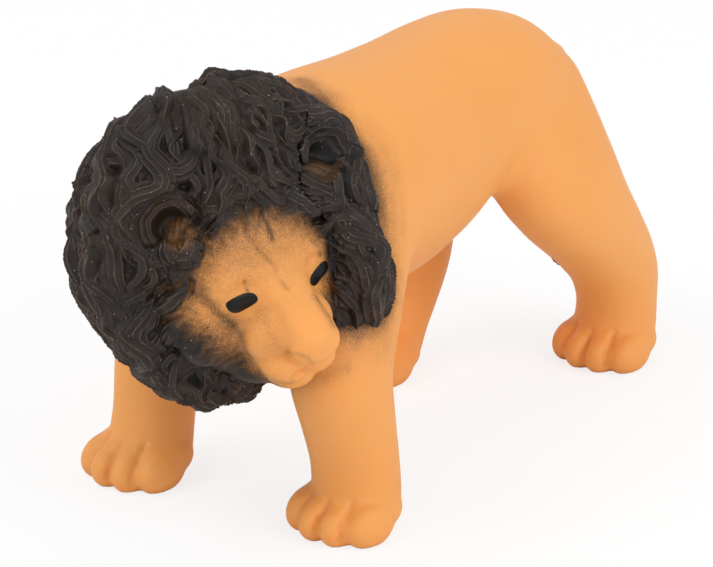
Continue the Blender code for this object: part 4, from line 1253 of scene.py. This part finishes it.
def ball_gap(points, place, radii):
    """Rough distance of points outside an ellipsoid, in metres."""
    inverse = np.array(place.inverted())
    local = points @ inverse[:3, :3].T + inverse[:3, 3]
    size = np.array(radii) * MM
    reach = np.linalg.norm(local / size, axis=1)
    return (reach - 1) * np.linalg.norm(local, axis=1) / np.maximum(reach, 1e-6)


def streaks(around, reach):
    """Fine hair-like streaks that run outwards from the face, between 0 and 1."""
    values = np.zeros(len(around))
    for k, (count, share) in enumerate(((31, 0.4), (53, 0.35), (97, 0.25))):
        bend = 2.1 * np.sin(reach * (5 + 3 * k) + k)
        values += share * (0.5 + 0.5 * np.sin(around * count + bend + k))
    return values


def face_spray(skin, best):
    """Sprayed colour of the head: full on the mane, misty round the face, lines on it."""
    ring, ahead = face_rings(skin.points)
    _, left, up = head_places(skin.points)
    rise, aside, half_wide, half_high = FACE_OPENING
    around = np.arctan2((left - aside) / half_wide, (up - rise) / half_high)
    hairs = streaks(around, ring * 4)
    mane = smooth_step(0.5, 2.0, best) * smooth_step(0.72, 0.98, ring)
    mane = np.maximum(mane, (ahead < -42).astype(float))
    hair = smooth_step(0.64, 1.08, ring + 0.09 * (hairs - 0.5)) * smooth_step(6, -8, ahead)
    brow = 0.46 * smooth_step(-1, 22, up) * smooth_step(8, -6, ahead)
    speckle = 0.07 * smooth_step(14, 6, ahead)
    cheek = 0.84 * smooth_step(0, -12, up) * smooth_step(0.2, 0.42, ring) * smooth_step(-9, -14.5, left)
    cheek *= smooth_step(2, -10, ahead) * (0.75 + 0.4 * hairs)
    far = 0.97 * smooth_step(21.2, 23.2, left + 0.1 * np.abs(up)) * smooth_step(16, 10, ahead)
    layers = [mane, 0.97 * hair, brow, cheek, far, speckle]
    tree = skin.tree()
    for places, width, strength in SPRAY_LINES:
        layers.append(spray_near(skin.points, seen_path(tree, places), width, strength))
    cover = layered(*layers)
    for side in EARS:
        outward, _, level = ear_places(skin.points, side)
        inner = 1 - smooth_step(2.5, 6.5, np.hypot(outward + 2.6, level + 2.2))
        tuft = 0.5 + 0.5 * np.cos(outward * 3.2 + 0.6 * level)
        cover = cover * (1 - inner * (0.12 + 0.08 * tuft) * (0.5 if side > 0 else 1))
    return cover


class LION_OT_head(bpy.types.Operator):
    """Model the face, the ears and the mane in one skin, with its painted eyes"""

    bl_idname = "lion.head"
    bl_label = "Head"

    def execute(self, context):
        colours = context.scene.lion_colours
        skin = head_surface()
        strand, crest_highlight, best = lay_locks(skin, all_locks(mane_tree()))
        mesh = skin.mesh
        tree = skin.tree()
        set_value(mesh, "spray", face_spray(skin, best))
        set_value(mesh, "strand", strand)
        set_value(mesh, "crest_highlight", crest_highlight)
        add_piece("head_vinyl", mesh, vinyl_finish(colours), "head_skin")
        finish = eye_finish(colours)
        for name, places in (("right_eye_paint", RIGHT_EYE), ("left_eye_paint", LEFT_EYE)):
            add_piece(name, eye_patch(tree, places), finish, "head_skin")
        return {"FINISHED"}


# Height at which the tail's tuft begins, in millimetres
TUFT_TOP = 58


def tail_surface(source):
    """Round tail with sculpted strands in its tuft; returns also where the tuft and its strands lie."""
    form = bmesh.new()
    form.from_mesh(source.data)
    form.transform(Matrix.Translation(-FRAME_SHIFT) @ source.matrix_world)
    skin = Skin(fused(form, 0.7, 9))
    level = skin.points[:, 2]
    order = np.argsort(level)
    half = 200
    even = np.ones(2 * half + 1) / (2 * half + 1)
    middle = [np.convolve(skin.points[order, k], even, mode="same") for k in (0, 1)]
    middle[0][:half], middle[1][:half] = middle[0][half], middle[1][half]
    centre = np.empty((len(level), 2))
    centre[order] = np.array(middle).T
    around = np.arctan2(skin.points[:, 0] - centre[:, 0], skin.points[:, 1] - centre[:, 1])
    tuft = smooth_step(TUFT_TOP, TUFT_TOP - 9, level / MM)
    lines = around * 6 / math.pi + 0.5 * np.sin(level / MM / 4) + level / MM / 14
    skin.points += skin.normals * (tuft * (1.1 * cusps(lines) - 0.3) * MM)[:, None]
    skin.write()
    return skin.mesh, tuft, lines


class LION_OT_tail(bpy.types.Operator):
    """Model the tail with its sprayed tuft, and finish the belly plug"""

    bl_idname = "lion.tail"
    bl_label = "Tail and plug"

    def execute(self, context):
        colours = context.scene.lion_colours
        mesh, tuft, lines = tail_surface(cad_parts["tail"])
        set_value(mesh, "spray", 0.97 * tuft)
        set_value(mesh, "strand", lines)
        set_value(mesh, "crest_highlight", 0.9 * tuft)
        add_piece("tail_vinyl", mesh, vinyl_finish(colours), "tail")
        finish = vinyl_finish(colours, sprayed=False)
        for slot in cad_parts["belly_plug"].material_slots:
            slot.material = finish
        return {"FINISHED"}


class LION_OT_filling(bpy.types.Operator):
    """Stuff the skins with wads of fibre"""

    bl_idname = "lion.filling"
    bl_label = "Filling"

    def execute(self, context):
        finish = fibre_finish(context.scene.lion_colours)
        for name in [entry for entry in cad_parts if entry.endswith("_stuffing")]:
            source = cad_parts[name]
            form = bmesh.new()
            form.from_mesh(source.data)
            form.transform(source.matrix_world)
            mesh = fused(form, 3.0, 3)
            skin = Skin(mesh)
            for k, (point, normal) in enumerate(zip(skin.points, skin.normals)):
                lump = noise.noise(Vector(point) * 90) + 0.5 * noise.noise(Vector(point) * 220)
                skin.points[k] = point + normal * (0.9 * MM * lump - 1.4 * MM)
            skin.write()
            mesh.transform(Matrix.Translation(-FRAME_SHIFT))
            wad = add_piece(name + "_wad", mesh, finish, name)
        return {"FINISHED"}


class LION_OT_stage(bpy.types.Operator):
    """Set the floor, the light and the photograph's camera"""

    bl_idname = "lion.stage"
    bl_label = "Stage"

    def execute(self, context):
        scene = context.scene
        half = scene.lion_sizes.floor_width / 2
        mesh = bpy.data.meshes.new("floor")
        corners = [(-half, -half, 0), (half, -half, 0), (half, half, 0), (-half, half, 0)]
        mesh.from_pydata(corners, [], [(0, 1, 2, 3)])
        mesh.materials.append(floor_finish())
        floor = bpy.data.objects.new("floor", mesh)
        scene.collection.objects.link(floor)
        world = bpy.data.worlds.new("studio")
        scene.world = world
        world.use_nodes = True
        tree = world.node_tree
        ground = wire(tree, tree.nodes["Background"], {"Color": WHITE, "Strength": 0.72})
        shown = node(tree, "Background", {"Color": WHITE, "Strength": 1.0})
        lit_apart(tree, node(tree, "LightPath").outputs["Is Camera Ray"], ground, shown, "World Output")
        for name, place, energy in LAMPS:
            data = bpy.data.lights.new(name, "AREA")
            data.size = LAMP_SIZE
            data.energy = energy
            lamp = bpy.data.objects.new(name, data)
            lamp.location = place
            lamp.rotation_euler = (Vector(place) - LAMP_TARGET).to_track_quat("Z", "Y").to_euler()
            scene.collection.objects.link(lamp)
        back = view_axes()[2]
        data = bpy.data.cameras.new("photo_camera")
        data.sensor_width = SENSOR_WIDTH
        data.lens = FOCAL_PIXELS * SENSOR_WIDTH / PHOTO_WIDTH
        camera = bpy.data.objects.new("photo_camera", data)
        camera.location = VIEW_TARGET + FRAME_SHIFT + back * VIEW_DISTANCE
        camera.rotation_euler = back.to_track_quat("Z", "Y").to_euler()
        scene.collection.objects.link(camera)
        scene.camera = camera
        scene.view_settings.view_transform = "Standard"
        return {"FINISHED"}


STEPS = (LION_OT_body, LION_OT_head, LION_OT_tail, LION_OT_filling, LION_OT_stage)


class LION_PT_panel(bpy.types.Panel):
    """Buttons and settings of the toy lion"""

    bl_idname = "LION_PT_panel"
    bl_label = "Toy lion"
    bl_space_type = "VIEW_3D"
    bl_region_type = "UI"
    bl_category = "Lion"

    def draw(self, context):
        layout = self.layout
        for step in STEPS:
            layout.operator(step.bl_idname)
        for settings in (context.scene.lion_colours, context.scene.lion_sizes):
            for name in settings.__annotations__:
                layout.prop(settings, name)


CLASSES = (LionColours, LionSizes, *STEPS, LION_PT_panel)


def register():
    for entry in CLASSES:
        bpy.utils.register_class(entry)
    bpy.types.Scene.lion_colours = PointerProperty(type=LionColours)
    bpy.types.Scene.lion_sizes = PointerProperty(type=LionSizes)


def unregister():
    del bpy.types.Scene.lion_colours
    del bpy.types.Scene.lion_sizes
    for entry in reversed(CLASSES):
        bpy.utils.unregister_class(entry)


def main():
    """Build the whole figure."""
    register()
    for step in STEPS:
        group, name = step.bl_idname.split(".")
        getattr(getattr(bpy.ops, group), name)()


if __name__ == "__main__":
    main()
